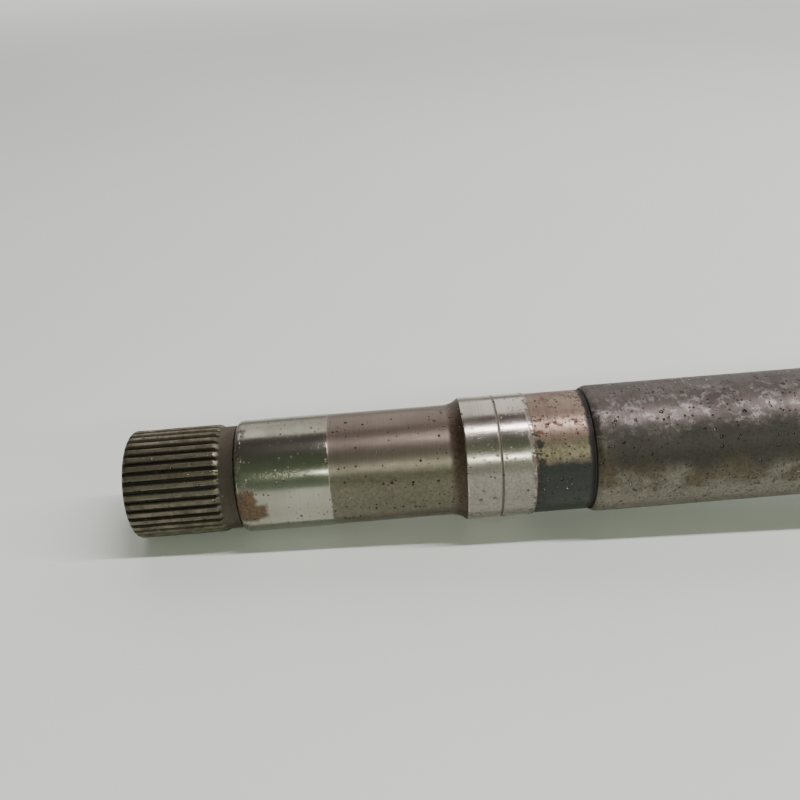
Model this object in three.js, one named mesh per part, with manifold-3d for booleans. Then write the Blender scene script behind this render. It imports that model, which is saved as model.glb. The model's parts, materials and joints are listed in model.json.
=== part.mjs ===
// Front driveshaft of the equal-length kind: a link shaft with its support bearing, a plunging
// tripod joint, a half shaft, a fixed ball joint and the wheel-end stub.
// Millimetres. The axle is drawn along X from the splined end face, then laid on the floor.
import * as THREE from 'three';
import { mergeVertices } from 'three/addons/utils/BufferGeometryUtils.js';
import Module from 'manifold-3d';

// ---- Facets of the round pieces
const SIDES = 24;

// ---- Clearances
const SEAT_GAP = 0.2;
const REST_GAP = 0.3;
const RUN_GAP = 0.25;

// ---- Splined end of the link shaft
const SPLINE_TEETH = 36;
const SPLINE_MODULE = 25.4 / 32;
const SPLINE_TIP_R = (SPLINE_TEETH + 1) * SPLINE_MODULE / 2;
const SPLINE_ROOT_R = (SPLINE_TEETH - 1.5) * SPLINE_MODULE / 2;
const SPLINE_END = 25.5;
const SPLINE_CHAMFER = 1.1;

// ---- Link shaft, radii and the ends of each section measured from the splined end face
const NECK_R = 14.0;
const NECK_END = 29.4;
const SEAL_JOURNAL_R = 15.3;
const SEAL_JOURNAL_END = 54.0;
const GROUND_R = 15.15;
const GROUND_END = 86.4;
const COLLAR_R = 16.8;
const COLLAR_START = 89.7;
const COLLAR_END = 107.9;
const COLLAR_GROOVE = 98.9;
const STEP_R = 16.48;
const STEP_END = 123.6;
const BAR_PASS = 0.05;

// ---- Support bearing
const BEARING_S = 462;
const BEARING_WIDTH = 14;
const BEARING_BORE_R = 17.5;
const BAR_R = BEARING_BORE_R - BAR_PASS;
const BEARING_OUTER_R = 31;
const BEARING_BALL_R = 4;
const BEARING_BALLS = 9;
const BEARING_SHOULDER = 0.65;
const SNAP_THICK = 1.5;
const STOP_R = 20.5;

// ---- Tripod joint
const PLUNGE_BACK = 37;
const MOUTH_OUT = 30;
const STEM_START = BEARING_S + 18;
const STEM_R = 22;
const STEM_SPLINE_R = 14;
const STEM_SPLINE_LENGTH = 22;
const TRIPOD_S = STEM_START + STEM_SPLINE_LENGTH + 6 + PLUNGE_BACK;
const AXLE_R = 12;
const SPIDER_HUB_R = AXLE_R + 1.6;
const SPIDER_HALF = 8;
const SPIDER_SPLINE_R = AXLE_R - 1.8;
const TRUNNION_R = 6.5;
const NEEDLE_D = 1.6;
const ROLLER_WALL = 5.4;
const ROLLER_HALF = 5.5;
const TRACK_GAP = 0.7;

// ---- Half shaft
const BOOT_SEAT_R = AXLE_R + 1;
const SERRATION = 0.6;

// ---- Outer ball joint
const JOINT_SPAN = 380;
const OUTER_S = TRIPOD_S + JOINT_SPAN;
const DRIVE_BALLS = 6;
const DRIVE_BALL_R = 8;
const BALL_PITCH_R = 29.5;
const GROOVE_GAP = 1.15;
const STAR_R = 25.2;
const STAR_HALF = 12;
const STAR_SPLINE_R = AXLE_R - 1;
const CAGE_THICK = 6.1;
const CAGE_HALF = 14;
const CAGE_GAP = 0.5;
const BELL_R = 46;
const BELL_SEAT_R = 43;
const BELL_MOUTH = 18;
const BELL_FLARE_R = 32.3;

// ---- Wheel end
const HUB_FACE = 42;
const HUB_TEETH = 28;
const HUB_SPLINE_R = 15;
const HUB_SPLINE_LENGTH = 34;
const THREAD_R = 12;
const THREAD_LENGTH = 27;
const NUT_ACROSS = 34;
const ABS_TEETH = 48;
const ABS_BAND = 3.4;
const ABS_TOOTH = 2.8;
const ABS_START = 7;
const ABS_WIDTH = 10;

// ---- Gaiters and their clamps
const CUFF = 2.5;
const BOOT_WALL = 2.4;
const CLAMP_THICK = 1;
const CLAMP_WIDTH = 8;
const INNER_CUFF_WIDTH = 13;
const INNER_BOOT_LENGTH = 93;
const OUTER_BOOT_LENGTH = 115;
// each fold's valley and peak, as a share of the way from the thin end to the thick end
const INNER_FOLDS = [[0.72, 1.11], [0.63, 1], [0.34, 0.72], [0.09, 0.39]];
const OUTER_FOLDS = [[0, 0.25], [0.11, 0.46], [0.26, 0.67], [0.43, 0.88], [0.65, 1.08]];
const LAST_VALLEY = 6;

// ---- How it lies: the splined end, the inner clamp and the toothed ring all touch the floor
const ABS_S = OUTER_S + ABS_START;
const ABS_TIP_R = BELL_R + SEAT_GAP + ABS_BAND + ABS_TOOTH;
const SLOPE = (ABS_TIP_R - SPLINE_TIP_R) / (ABS_S - SPLINE_CHAMFER);
const restRadius = (s) => SPLINE_TIP_R + SLOPE * (s - SPLINE_CHAMFER);
const LIE = Math.atan(SLOPE);

// ---- Sizes that follow
const MOUTH_S = TRIPOD_S + MOUTH_OUT;
const INNER_BOOT_END = MOUTH_S + INNER_BOOT_LENGTH;
const INNER_CUFF_S = MOUTH_S - 2 - INNER_CUFF_WIDTH;
const INNER_CLAMP_S = INNER_CUFF_S + (INNER_CUFF_WIDTH - CLAMP_WIDTH) / 2;
const TULIP_SEAT_R = restRadius(INNER_CLAMP_S) - CLAMP_THICK - 2 * SEAT_GAP - CUFF;
const TULIP_R = TULIP_SEAT_R + 0.9;
const NEEDLE_IN_R = TRUNNION_R + RUN_GAP;
const NEEDLE_OUT_R = NEEDLE_IN_R + NEEDLE_D;
const ROLLER_BORE_R = NEEDLE_OUT_R + RUN_GAP;
const ROLLER_R = ROLLER_BORE_R + ROLLER_WALL;
const ROLLER_PITCH_R = SPIDER_HUB_R + 2 * RUN_GAP + ROLLER_HALF;
const WASHER_S = ROLLER_PITCH_R + ROLLER_HALF + RUN_GAP;
const WASHER_THICK = 0.9;
const CLIP_S = WASHER_S + WASHER_THICK + RUN_GAP;
const CLIP_THICK = 1;
const TRUNNION_END = CLIP_S + CLIP_THICK + RUN_GAP + 0.6;
const TRACK_R = ROLLER_R + TRACK_GAP;
const TRACK_BOTTOM = TRUNNION_END + 1.5;
const CENTRE_BORE_R = SPIDER_HUB_R + 4.6;
const FLARE_R = AXLE_R * 2;
const SPIDER_STUB = SPIDER_HALF + 5;
const CAGE_IN_R = STAR_R + CAGE_GAP;
const CAGE_OUT_R = CAGE_IN_R + CAGE_THICK;
const BELL_IN_R = CAGE_OUT_R + CAGE_GAP;
const GROOVE_R = DRIVE_BALL_R + GROOVE_GAP;
const MOUTH_FACE_S = OUTER_S - BELL_MOUTH;
const OUTER_BOOT_START = MOUTH_FACE_S - OUTER_BOOT_LENGTH;
const OUTER_CUFF_S = MOUTH_FACE_S + 2;
const OUTER_CUFF_WIDTH = 10;
const HUB_S = OUTER_S + HUB_FACE;
const SHIELD_SEAT_R = BELL_R - 14;
const HUB_FACE_R = HUB_SPLINE_R + 10;
const THREAD_S = HUB_S + 2 + HUB_SPLINE_LENGTH + 3;
const AXLE_END = THREAD_S + THREAD_LENGTH;

// ---- Turning, extruding and boolean helpers
const wasm = await Module();
wasm.setup();

const ALONG_X = new THREE.Matrix4().makeBasis(
  new THREE.Vector3(0, 0, 1),
  new THREE.Vector3(1, 0, 0),
  new THREE.Vector3(0, 1, 0),
);
const SECTION_TO_X = new THREE.Matrix4().makeBasis(
  new THREE.Vector3(0, 1, 0),
  new THREE.Vector3(0, 0, 1),
  new THREE.Vector3(1, 0, 0),
);

// A solid of revolution about X from [s, r] points that run with s on the outside.
function turned(points, sides) {
  const profile = points.map(([s, r]) => new THREE.Vector2(r, s));
  return new THREE.LatheGeometry(profile, sides).applyMatrix4(ALONG_X);
}

// A closed ring of revolution about X: the outside with rising s, then the inside back.
function turnedRing(points, sides) {
  return turned([...points, points[0]], sides);
}

// A solid of revolution about Z, in a frame whose X, Y origin is the trunnion axis.
function turnedUp(points, sides) {
  const profile = points.map(([z, r]) => new THREE.Vector2(r, z));
  return new THREE.LatheGeometry(profile, sides).rotateX(Math.PI / 2);
}

// A flat section in the Y, Z plane carried along X from s0 to s1.
function section(shape, s0, s1, curveSegments = 6) {
  const settings = { depth: s1 - s0, bevelEnabled: false, steps: 1, curveSegments };
  const geometry = new THREE.ExtrudeGeometry(shape, settings);
  return geometry.applyMatrix4(SECTION_TO_X).translate(s0, 0, 0);
}

function polar(radius, angle) {
  return new THREE.Vector2(radius * Math.cos(angle), radius * Math.sin(angle));
}

// Points of a toothed outline: a flat tip and a flat root per tooth, one tooth centred at the bottom.
function toothedPoints(teeth, rootR, tipR, tipShare) {
  const pitch = 2 * Math.PI / teeth;
  const offsets = [
    [-0.5 * tipShare - 0.14, rootR],
    [-0.5 * tipShare, tipR],
    [0.5 * tipShare, tipR],
    [0.5 * tipShare + 0.14, rootR],
  ];
  const points = [];
  for (let i = 0; i < teeth; i += 1) {
    for (const [offset, radius] of offsets) {
      points.push(polar(radius, -Math.PI / 2 + (i + offset) * pitch));
    }
  }
  return points;
}

// Points of a serrated outline with sharp teeth.
function serratedPoints(teeth, tipR) {
  const points = [];
  for (let i = 0; i < 2 * teeth; i += 1) {
    const radius = i % 2 === 0 ? tipR : tipR - SERRATION;
    points.push(polar(radius, i * Math.PI / teeth));
  }
  return points;
}

function circlePoints(radius, sides) {
  return Array.from({ length: sides }, (_, i) => polar(radius, i * 2 * Math.PI / sides));
}

function solid(geometry) {
  const plain = geometry.clone();
  plain.deleteAttribute('normal');
  plain.deleteAttribute('uv');
  const merged = mergeVertices(plain, 1e-4);
  const corners = merged.index.array;
  const kept = [];
  for (let i = 0; i < corners.length; i += 3) {
    const [a, b, c] = [corners[i], corners[i + 1], corners[i + 2]];
    if (a !== b && b !== c && c !== a) kept.push(a, b, c);
  }
  const mesh = new wasm.Mesh({
    numProp: 3,
    vertProperties: new Float32Array(merged.attributes.position.array),
    triVerts: new Uint32Array(kept),
  });
  return new wasm.Manifold(mesh);
}

function geometryOf(manifold) {
  const mesh = manifold.getMesh();
  const geometry = new THREE.BufferGeometry();
  geometry.setAttribute('position', new THREE.BufferAttribute(mesh.vertProperties, 3));
  geometry.setIndex(new THREE.BufferAttribute(mesh.triVerts, 1));
  geometry.computeVertexNormals();
  return geometry;
}

function joined(...geometries) {
  return geometries.map(solid).reduce((a, b) => a.add(b));
}

function without(body, ...cutters) {
  return cutters.map(solid).reduce((a, b) => a.subtract(b), body);
}

// ---- Small shared pieces
// A split ring: an arc with a gap at the given angle.
function splitRing(innerR, outerR, s0, thickness, gapAngle, gapHalf, sides = 18) {
  const shape = new THREE.Shape();
  const from = gapAngle + gapHalf;
  const sweep = 2 * Math.PI - 2 * gapHalf;
  const at = (radius, i) => polar(radius, from + sweep * i / sides);
  const outer = Array.from({ length: sides + 1 }, (_, i) => at(outerR, i));
  const inner = Array.from({ length: sides + 1 }, (_, i) => at(innerR, sides - i));
  shape.setFromPoints([...outer, ...inner]);
  return section(shape, s0, s0 + thickness);
}

// A crimped band clamp with its raised ear on top.
function bandClamp(innerR, s0, sides) {
  const outerR = innerR + CLAMP_THICK;
  const s1 = s0 + CLAMP_WIDTH;
  const band = turnedRing([[s0, outerR], [s1, outerR], [s1, innerR], [s0, innerR]], sides);
  const ear = new THREE.Shape();
  const foot = innerR + 0.4 * CLAMP_THICK;
  ear.setFromPoints([
    new THREE.Vector2(-4, foot),
    new THREE.Vector2(4, foot),
    new THREE.Vector2(2.4, outerR + 1.2),
    new THREE.Vector2(2.6, outerR + 3.6),
    new THREE.Vector2(-2.6, outerR + 3.6),
    new THREE.Vector2(-2.4, outerR + 1.2),
  ]);
  const inset = 0.8;
  return geometryOf(joined(band, section(ear, s0 + inset, s1 - inset)));
}

// A gaiter wall from its outside points: cuffs and folds, offset inwards to the inside.
function gaiter(outside, inside, sides) {
  return turnedRing([...outside, ...inside.slice().reverse()], sides);
}

// Fold points from s0 to s1: each fold is a valley and then a peak, given as drops below baseR,
// and the last point is one more valley.
function foldPoints(s0, s1, thinR, thickR, shares, lastR) {
  const pitch = (s1 - s0) / shares.length;
  const points = shares.flatMap(([valley, peak], i) => [
    [s0 + pitch * i, thinR + (thickR - thinR) * valley],
    [s0 + pitch * (i + 0.5), thinR + (thickR - thinR) * peak],
  ]);
  return [...points, [s1, lastR]];
}

// ---- Link shaft
function linkShaft() {
  const seatR = BEARING_BORE_R - SEAT_GAP;
  const ringS = BEARING_S - BEARING_WIDTH / 2 - REST_GAP - SNAP_THICK;
  const stopS = BEARING_S + BEARING_WIDTH / 2 + REST_GAP;
  const fillet = COLLAR_START - GROUND_END;
  const body = turned([
    [SPLINE_END - 2.2, 0],
    [SPLINE_END - 2.2, SPLINE_ROOT_R - 0.4],
    [SPLINE_END - 0.8, NECK_R],
    [NECK_END - 0.7, NECK_R],
    [NECK_END, NECK_R + 0.4],
    [NECK_END + 0.9, SEAL_JOURNAL_R],
    [SEAL_JOURNAL_END, SEAL_JOURNAL_R],
    [SEAL_JOURNAL_END + 0.2, GROUND_R],
    [GROUND_END, GROUND_R],
    [GROUND_END + 0.4 * fillet, GROUND_R + 0.2],
    [GROUND_END + 0.75 * fillet, GROUND_R + 0.7],
    [COLLAR_START, COLLAR_R - 0.2],
    [COLLAR_START + 0.2, COLLAR_R],
    [COLLAR_GROOVE - 0.3, COLLAR_R],
    [COLLAR_GROOVE, COLLAR_R - 0.3],
    [COLLAR_GROOVE + 0.3, COLLAR_R],
    [COLLAR_END - 0.2, COLLAR_R],
    [COLLAR_END, STEP_R],
    [STEP_END - 0.7, STEP_R],
    [STEP_END - 0.4, STEP_R - 0.25],
    [STEP_END, STEP_R - 0.25],
    [STEP_END + 0.3, BAR_R - 0.5],
    [STEP_END + 1.2, BAR_R],
    [ringS - 3, BAR_R],
    [ringS - 2.8, seatR],
    [ringS - 0.1, seatR],
    [ringS - 0.1, seatR - 0.8],
    [ringS + SNAP_THICK + 0.1, seatR - 0.8],
    [ringS + SNAP_THICK + 0.1, seatR],
    [stopS, seatR],
    [stopS, STOP_R],
    [STEM_START - REST_GAP, STOP_R],
    [STEM_START - REST_GAP, 0],
  ], SIDES);
  const teeth = section(
    new THREE.Shape(toothedPoints(SPLINE_TEETH, SPLINE_ROOT_R, SPLINE_TIP_R, 0.36)),
    0,
    SPLINE_END,
  );
  const envelope = turned([
    [0, 0],
    [0, SPLINE_TIP_R - SPLINE_CHAMFER],
    [SPLINE_CHAMFER, SPLINE_TIP_R + 0.05],
    [SPLINE_END - 1.4, SPLINE_TIP_R + 0.05],
    [SPLINE_END, NECK_R - 0.1],
    [SPLINE_END, 0],
  ], SPLINE_TEETH);
  const stub = section(
    new THREE.Shape(serratedPoints(20, STEM_SPLINE_R)),
    STEM_START - REST_GAP - 1,
    STEM_START + STEM_SPLINE_LENGTH,
  );
  const centre = turned([[-1, 0], [-1, 4], [3, 0]], 12);
  const splined = solid(teeth).intersect(solid(envelope));
  return geometryOf(without(splined.add(joined(body, stub)), centre));
}

// ---- Support bearing
function bearingRace(ballR, side) {
  const pitchR = (BEARING_BORE_R + BEARING_OUTER_R) / 2;
  const grooveR = ballR + RUN_GAP;
  const half = Math.acos((ballR - BEARING_SHOULDER * 2) / grooveR);
  const points = [];
  const steps = 4;
  for (let i = 0; i <= steps; i += 1) {
    const angle = -half + 2 * half * i / steps;
    const along = BEARING_S + grooveR * Math.sin(angle) * side;
    points.push([along, pitchR - side * grooveR * Math.cos(angle)]);
  }
  return points;
}

function bearingInnerRing() {
  const s0 = BEARING_S - BEARING_WIDTH / 2;
  const s1 = BEARING_S + BEARING_WIDTH / 2;
  const groove = bearingRace(BEARING_BALL_R, 1);
  const shoulderR = groove[0][1];
  return turnedRing([
    [s0, shoulderR],
    ...groove,
    [s1, shoulderR],
    [s1, BEARING_BORE_R],
    [s0, BEARING_BORE_R],
  ], SIDES);
}

function bearingOuterRing() {
  const s0 = BEARING_S - BEARING_WIDTH / 2;
  const s1 = BEARING_S + BEARING_WIDTH / 2;
  const groove = bearingRace(BEARING_BALL_R, -1);
  const shoulderR = groove[0][1];
  return turnedRing([
    [s0, BEARING_OUTER_R - 0.6],
    [s0 + 0.6, BEARING_OUTER_R],
    [s1 - 0.6, BEARING_OUTER_R],
    [s1, BEARING_OUTER_R - 0.6],
    [s1, shoulderR],
    ...groove,
    [s0, shoulderR],
  ], SIDES);
}

function bearingBalls() {
  const pitchR = (BEARING_BORE_R + BEARING_OUTER_R) / 2;
  return Array.from({ length: BEARING_BALLS }, (_, i) => {
    const angle = 2 * Math.PI * i / BEARING_BALLS;
    return ball(BEARING_BALL_R, 8, 5).rotateX(-angle)
      .translate(BEARING_S, pitchR * Math.cos(angle), pitchR * Math.sin(angle));
  });
}

function bearingCage() {
  const pitchR = (BEARING_BORE_R + BEARING_OUTER_R) / 2;
  const half = BEARING_BALL_R + 1;
  const ring = turnedRing([
    [BEARING_S - half, pitchR + 1],
    [BEARING_S + half, pitchR + 1],
    [BEARING_S + half, pitchR - 1],
    [BEARING_S - half, pitchR - 1],
  ], SIDES);
  const pockets = Array.from({ length: BEARING_BALLS }, (_, i) => {
    const angle = 2 * Math.PI * i / BEARING_BALLS;
    const points = [
      [pitchR - 4, 0],
      [pitchR - 4, BEARING_BALL_R + RUN_GAP],
      [pitchR + 4, BEARING_BALL_R + RUN_GAP],
      [pitchR + 4, 0],
    ];
    return turnedUp(points, 10).rotateX(angle - Math.PI / 2).translate(BEARING_S, 0, 0);
  });
  return geometryOf(without(solid(ring), ...pockets));
}

function bearingSeal(s0) {
  const pitchR = (BEARING_BORE_R + BEARING_OUTER_R) / 2;
  const inner = pitchR - BEARING_BALL_R + 2 * BEARING_SHOULDER + 2 * RUN_GAP;
  const outer = pitchR + BEARING_BALL_R - 2 * BEARING_SHOULDER - SEAT_GAP;
  return turnedRing([[s0, outer], [s0 + 0.8, outer], [s0 + 0.8, inner], [s0, inner]], SIDES);
}

function bearingSnapRing() {
  const seatR = BEARING_BORE_R - SEAT_GAP;
  const s0 = BEARING_S - BEARING_WIDTH / 2 - REST_GAP - SNAP_THICK;
  return splitRing(seatR - 0.8 + SEAT_GAP, seatR + 2.6, s0, SNAP_THICK, Math.PI / 2, 0.28, 20);
}

function bearingDustRing() {
  const s0 = BEARING_S + BEARING_WIDTH / 2 + 2;
  const bore = STOP_R + SEAT_GAP;
  return turnedRing([
    [s0, BEARING_OUTER_R - 1.5],
    [s0 + 1.2, BEARING_OUTER_R - 1.5],
    [s0 + 1.2, bore + 1.4],
    [s0 + 7, bore + 1.4],
    [s0 + 7, bore],
    [s0, bore],
  ], SIDES);
}

// ---- Balls
function ball(radius, sides, rings) {
  const points = [];
  for (let i = 0; i <= rings; i += 1) {
    const angle = Math.PI * i / rings;
    const r = i === 0 || i === rings ? 0 : radius * Math.sin(angle);
    points.push([-radius * Math.cos(angle), r]);
  }
  return turnedUp(points, sides);
}

// ---- Tripod joint
function tulipHousing() {
  const floorS = TRIPOD_S - PLUNGE_BACK;
  const shell = turned([
    [STEM_START, 0],
    [STEM_START, STEM_R - 1],
    [STEM_START + 1, STEM_R],
    [floorS - 14, STEM_R],
    [floorS - 11, STEM_R + 2.5],
    [floorS - 4, TULIP_R - 1.5],
    [floorS - 1, TULIP_R],
    [INNER_CUFF_S - SEAT_GAP, TULIP_R],
    [INNER_CUFF_S - SEAT_GAP, TULIP_SEAT_R],
    [INNER_CUFF_S + INNER_CUFF_WIDTH, TULIP_SEAT_R],
    [MOUTH_S, TULIP_SEAT_R - 0.6],
    [MOUTH_S, FLARE_R],
    [MOUTH_S - 22, CENTRE_BORE_R],
    [floorS, CENTRE_BORE_R],
    [floorS, 0],
  ], SIDES);
  const track = new THREE.Shape();
  const cut = TRACK_BOTTOM - ROLLER_PITCH_R;
  const open = Math.asin(cut / TRACK_R);
  const steps = 14;
  const sweep = Math.PI + 2 * open;
  const wall = Array.from({ length: steps + 1 }, (_, i) => {
    const angle = Math.PI - open + sweep * i / steps;
    const point = polar(TRACK_R, angle);
    return new THREE.Vector2(point.x, point.y + ROLLER_PITCH_R);
  });
  track.setFromPoints(wall);
  const tracks = [0, 1, 2].map((i) => (
    section(track, floorS + 1.5, MOUTH_S + 2).rotateX(2 * Math.PI * i / 3)
  ));
  const scallops = [0, 1, 2].map((i) => (
    turned([
      [floorS - 20, 0],
      [floorS - 20, 20],
      [INNER_CUFF_S - 6, 20],
      [INNER_CUFF_S - 3, 17],
      [INNER_CUFF_S - 3, 0],
    ], 28).translate(0, 0, -(TULIP_R + 15.5)).rotateX(2 * Math.PI * i / 3)
  ));
  const bore = section(
    new THREE.Shape(serratedPoints(20, STEM_SPLINE_R + REST_GAP)),
    STEM_START - 1,
    STEM_START + STEM_SPLINE_LENGTH + 1,
  );
  return geometryOf(without(solid(shell), ...tracks, ...scallops, bore));
}

function tripodSpider() {
  const hub = turned([
    [TRIPOD_S - SPIDER_HALF, 0],
    [TRIPOD_S - SPIDER_HALF, SPIDER_HUB_R],
    [TRIPOD_S + SPIDER_HALF, SPIDER_HUB_R],
    [TRIPOD_S + SPIDER_HALF, 0],
  ], SIDES);
  const pins = [0, 1, 2].map((i) => (
    turnedUp([
      [4, 0],
      [4, TRUNNION_R],
      [CLIP_S - 0.15, TRUNNION_R],
      [CLIP_S - 0.15, TRUNNION_R - 0.7],
      [CLIP_S + CLIP_THICK + 0.15, TRUNNION_R - 0.7],
      [CLIP_S + CLIP_THICK + 0.15, TRUNNION_R],
      [TRUNNION_END, TRUNNION_R - 0.5],
      [TRUNNION_END, 0],
    ], 16).translate(TRIPOD_S, 0, 0).rotateX(2 * Math.PI * i / 3)
  ));
  const bore = section(
    new THREE.Shape(serratedPoints(18, SPIDER_SPLINE_R + REST_GAP)),
    TRIPOD_S - SPIDER_HALF - 1,
    TRIPOD_S + SPIDER_HALF + 1,
  );
  return geometryOf(without(joined(hub, ...pins), bore));
}

function tripodRoller(i) {
  const low = ROLLER_PITCH_R - ROLLER_HALF;
  const high = ROLLER_PITCH_R + ROLLER_HALF;
  const arc = [-1, -0.4, 0.4, 1].map((share) => {
    const z = ROLLER_HALF * share;
    return [ROLLER_PITCH_R + z, Math.sqrt(ROLLER_R * ROLLER_R - z * z)];
  });
  const points = [...arc, [high, ROLLER_BORE_R], [low, ROLLER_BORE_R], arc[0]];
  return turnedUp(points, 20).translate(TRIPOD_S, 0, 0).rotateX(2 * Math.PI * i / 3);
}

function upwardRing(shape, z0, z1, i) {
  const settings = { depth: z1 - z0, bevelEnabled: false, steps: 1 };
  return new THREE.ExtrudeGeometry(shape, settings)
    .translate(TRIPOD_S, 0, z0)
    .rotateX(2 * Math.PI * i / 3);
}

function rollerNeedles(i) {
  const count = 12;
  const lobed = (outer, inner) => Array.from({ length: 2 * count }, (_, k) => (
    polar(k % 2 === 0 ? outer : inner, k * Math.PI / count)
  ));
  const shape = new THREE.Shape(lobed(NEEDLE_OUT_R, NEEDLE_OUT_R - 0.4));
  shape.holes.push(new THREE.Path(lobed(NEEDLE_IN_R, NEEDLE_IN_R + 0.4)));
  const low = ROLLER_PITCH_R - ROLLER_HALF + RUN_GAP;
  const high = ROLLER_PITCH_R + ROLLER_HALF - RUN_GAP;
  return upwardRing(shape, low, high, i);
}

function rollerWasher(i) {
  const shape = new THREE.Shape(circlePoints(TRUNNION_R + 4, 16));
  shape.holes.push(new THREE.Path(circlePoints(TRUNNION_R + 1.5 * SEAT_GAP, 16)));
  return upwardRing(shape, WASHER_S, WASHER_S + WASHER_THICK, i);
}

function rollerClip(i) {
  const sides = 16;
  const gap = 0.35;
  const at = (radius, k) => polar(radius, gap + (2 * Math.PI - 2 * gap) * k / sides);
  const outer = Array.from({ length: sides + 1 }, (_, k) => at(TRUNNION_R + 1.8, k));
  const inner = Array.from({ length: sides + 1 }, (_, k) => (
    at(TRUNNION_R - 0.7 + SEAT_GAP, sides - k)
  ));
  const shape = new THREE.Shape([...outer, ...inner]);
  return upwardRing(shape, CLIP_S, CLIP_S + CLIP_THICK, i);
}

// ---- Half shaft
function axleShaft() {
  const start = TRIPOD_S - SPIDER_STUB;
  const shoulder = TRIPOD_S + SPIDER_HALF + 3;
  const starShoulder = OUTER_S - STAR_HALF - REST_GAP;
  const end = OUTER_S + STAR_HALF + 4;
  const spiderCore = SPIDER_SPLINE_R - SERRATION - 0.3;
  const starCore = STAR_SPLINE_R - SERRATION - 0.3;
  const body = turned([
    [start, 0],
    [start, spiderCore - 0.6],
    [start + 0.6, spiderCore],
    [shoulder, spiderCore],
    [shoulder, AXLE_R - 0.5],
    [shoulder + 1, AXLE_R],
    [INNER_BOOT_END - 16, AXLE_R],
    [INNER_BOOT_END - 14, BOOT_SEAT_R],
    [INNER_BOOT_END + 2, BOOT_SEAT_R],
    [INNER_BOOT_END + 4, AXLE_R],
    [OUTER_BOOT_START - 4, AXLE_R],
    [OUTER_BOOT_START - 2, BOOT_SEAT_R],
    [OUTER_BOOT_START + 14, BOOT_SEAT_R],
    [OUTER_BOOT_START + 16, AXLE_R],
    [starShoulder - 1, AXLE_R],
    [starShoulder, AXLE_R - 0.5],
    [starShoulder, starCore],
    [end - 0.8, starCore],
    [end, starCore - 0.8],
    [end, 0],
  ], SIDES);
  const inner = section(
    new THREE.Shape(serratedPoints(18, SPIDER_SPLINE_R)),
    start + 1,
    shoulder + 0.5,
  );
  const outer = section(
    new THREE.Shape(serratedPoints(18, STAR_SPLINE_R)),
    starShoulder - 0.5,
    end - 1,
  );
  const groove = (core, s0) => turnedRing([
    [s0 - 0.15, AXLE_R + 2],
    [s0 + SNAP_THICK + 0.15, AXLE_R + 2],
    [s0 + SNAP_THICK + 0.15, core],
    [s0 - 0.15, core],
  ], SIDES);
  return geometryOf(without(
    joined(body, inner, outer),
    groove(spiderCore, TRIPOD_S - SPIDER_HALF - REST_GAP - SNAP_THICK),
    groove(spiderCore, TRIPOD_S + SPIDER_HALF + REST_GAP),
    groove(starCore, OUTER_S + STAR_HALF + REST_GAP),
  ));
}

function shaftRing(splineR, s0) {
  const core = splineR - SERRATION - 0.3;
  return splitRing(core + SEAT_GAP, splineR + 2, s0, SNAP_THICK, Math.PI / 2, 0.3, 16);
}

// ---- Outer ball joint
function ballGroove(i, from, to) {
  const steps = 8;
  const points = Array.from({ length: steps + 1 }, (_, k) => {
    const angle = from + (to - from) * k / steps;
    return new THREE.Vector3(BALL_PITCH_R * Math.sin(angle), 0, BALL_PITCH_R * Math.cos(angle));
  });
  const path = new THREE.CatmullRomCurve3(points);
  const shape = new THREE.Shape(circlePoints(GROOVE_R, 12));
  const tube = new THREE.ExtrudeGeometry(shape, { steps, extrudePath: path });
  return tube.rotateX(2 * Math.PI * i / DRIVE_BALLS).translate(OUTER_S, 0, 0);
}

function spherePart(radius, from, to, steps) {
  return Array.from({ length: steps + 1 }, (_, k) => {
    const x = from + (to - from) * k / steps;
    return [OUTER_S + x, Math.sqrt(radius * radius - x * x)];
  });
}

function ballStar() {
  const round = turned([
    [OUTER_S - STAR_HALF, 0],
    ...spherePart(STAR_R, -STAR_HALF, STAR_HALF, 6),
    [OUTER_S + STAR_HALF, 0],
  ], SIDES);
  const bore = section(
    new THREE.Shape(serratedPoints(18, STAR_SPLINE_R + REST_GAP)),
    OUTER_S - STAR_HALF - 1,
    OUTER_S + STAR_HALF + 1,
  );
  const grooves = Array.from({ length: DRIVE_BALLS }, (_, i) => ballGroove(i, -0.9, 0.9));
  return geometryOf(without(solid(round), bore, ...grooves));
}

function ballCage() {
  const outer = spherePart(CAGE_OUT_R, -CAGE_HALF, CAGE_HALF, 6);
  const inner = spherePart(CAGE_IN_R, CAGE_HALF, -CAGE_HALF, 6);
  const ring = turnedRing([...outer, ...inner], SIDES);
  const windows = Array.from({ length: DRIVE_BALLS }, (_, i) => {
    const tall = 2 * (DRIVE_BALL_R + 2 * RUN_GAP);
    return new THREE.BoxGeometry(tall, tall + 1.6, 2 * CAGE_THICK + 6)
      .translate(OUTER_S, 0, BALL_PITCH_R)
      .rotateX(2 * Math.PI * i / DRIVE_BALLS);
  });
  return geometryOf(without(solid(ring), ...windows));
}

function driveBall(i) {
  return ball(DRIVE_BALL_R, 10, 6)
    .translate(OUTER_S, 0, BALL_PITCH_R)
    .rotateX(2 * Math.PI * i / DRIVE_BALLS);
}

function sphereArc(radius, from, to, steps) {
  return Array.from({ length: steps + 1 }, (_, k) => {
    const angle = from + (to - from) * k / steps;
    const r = angle === 0 ? 0 : radius * Math.sin(angle);
    return [OUTER_S + radius * Math.cos(angle), r];
  });
}

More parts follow.
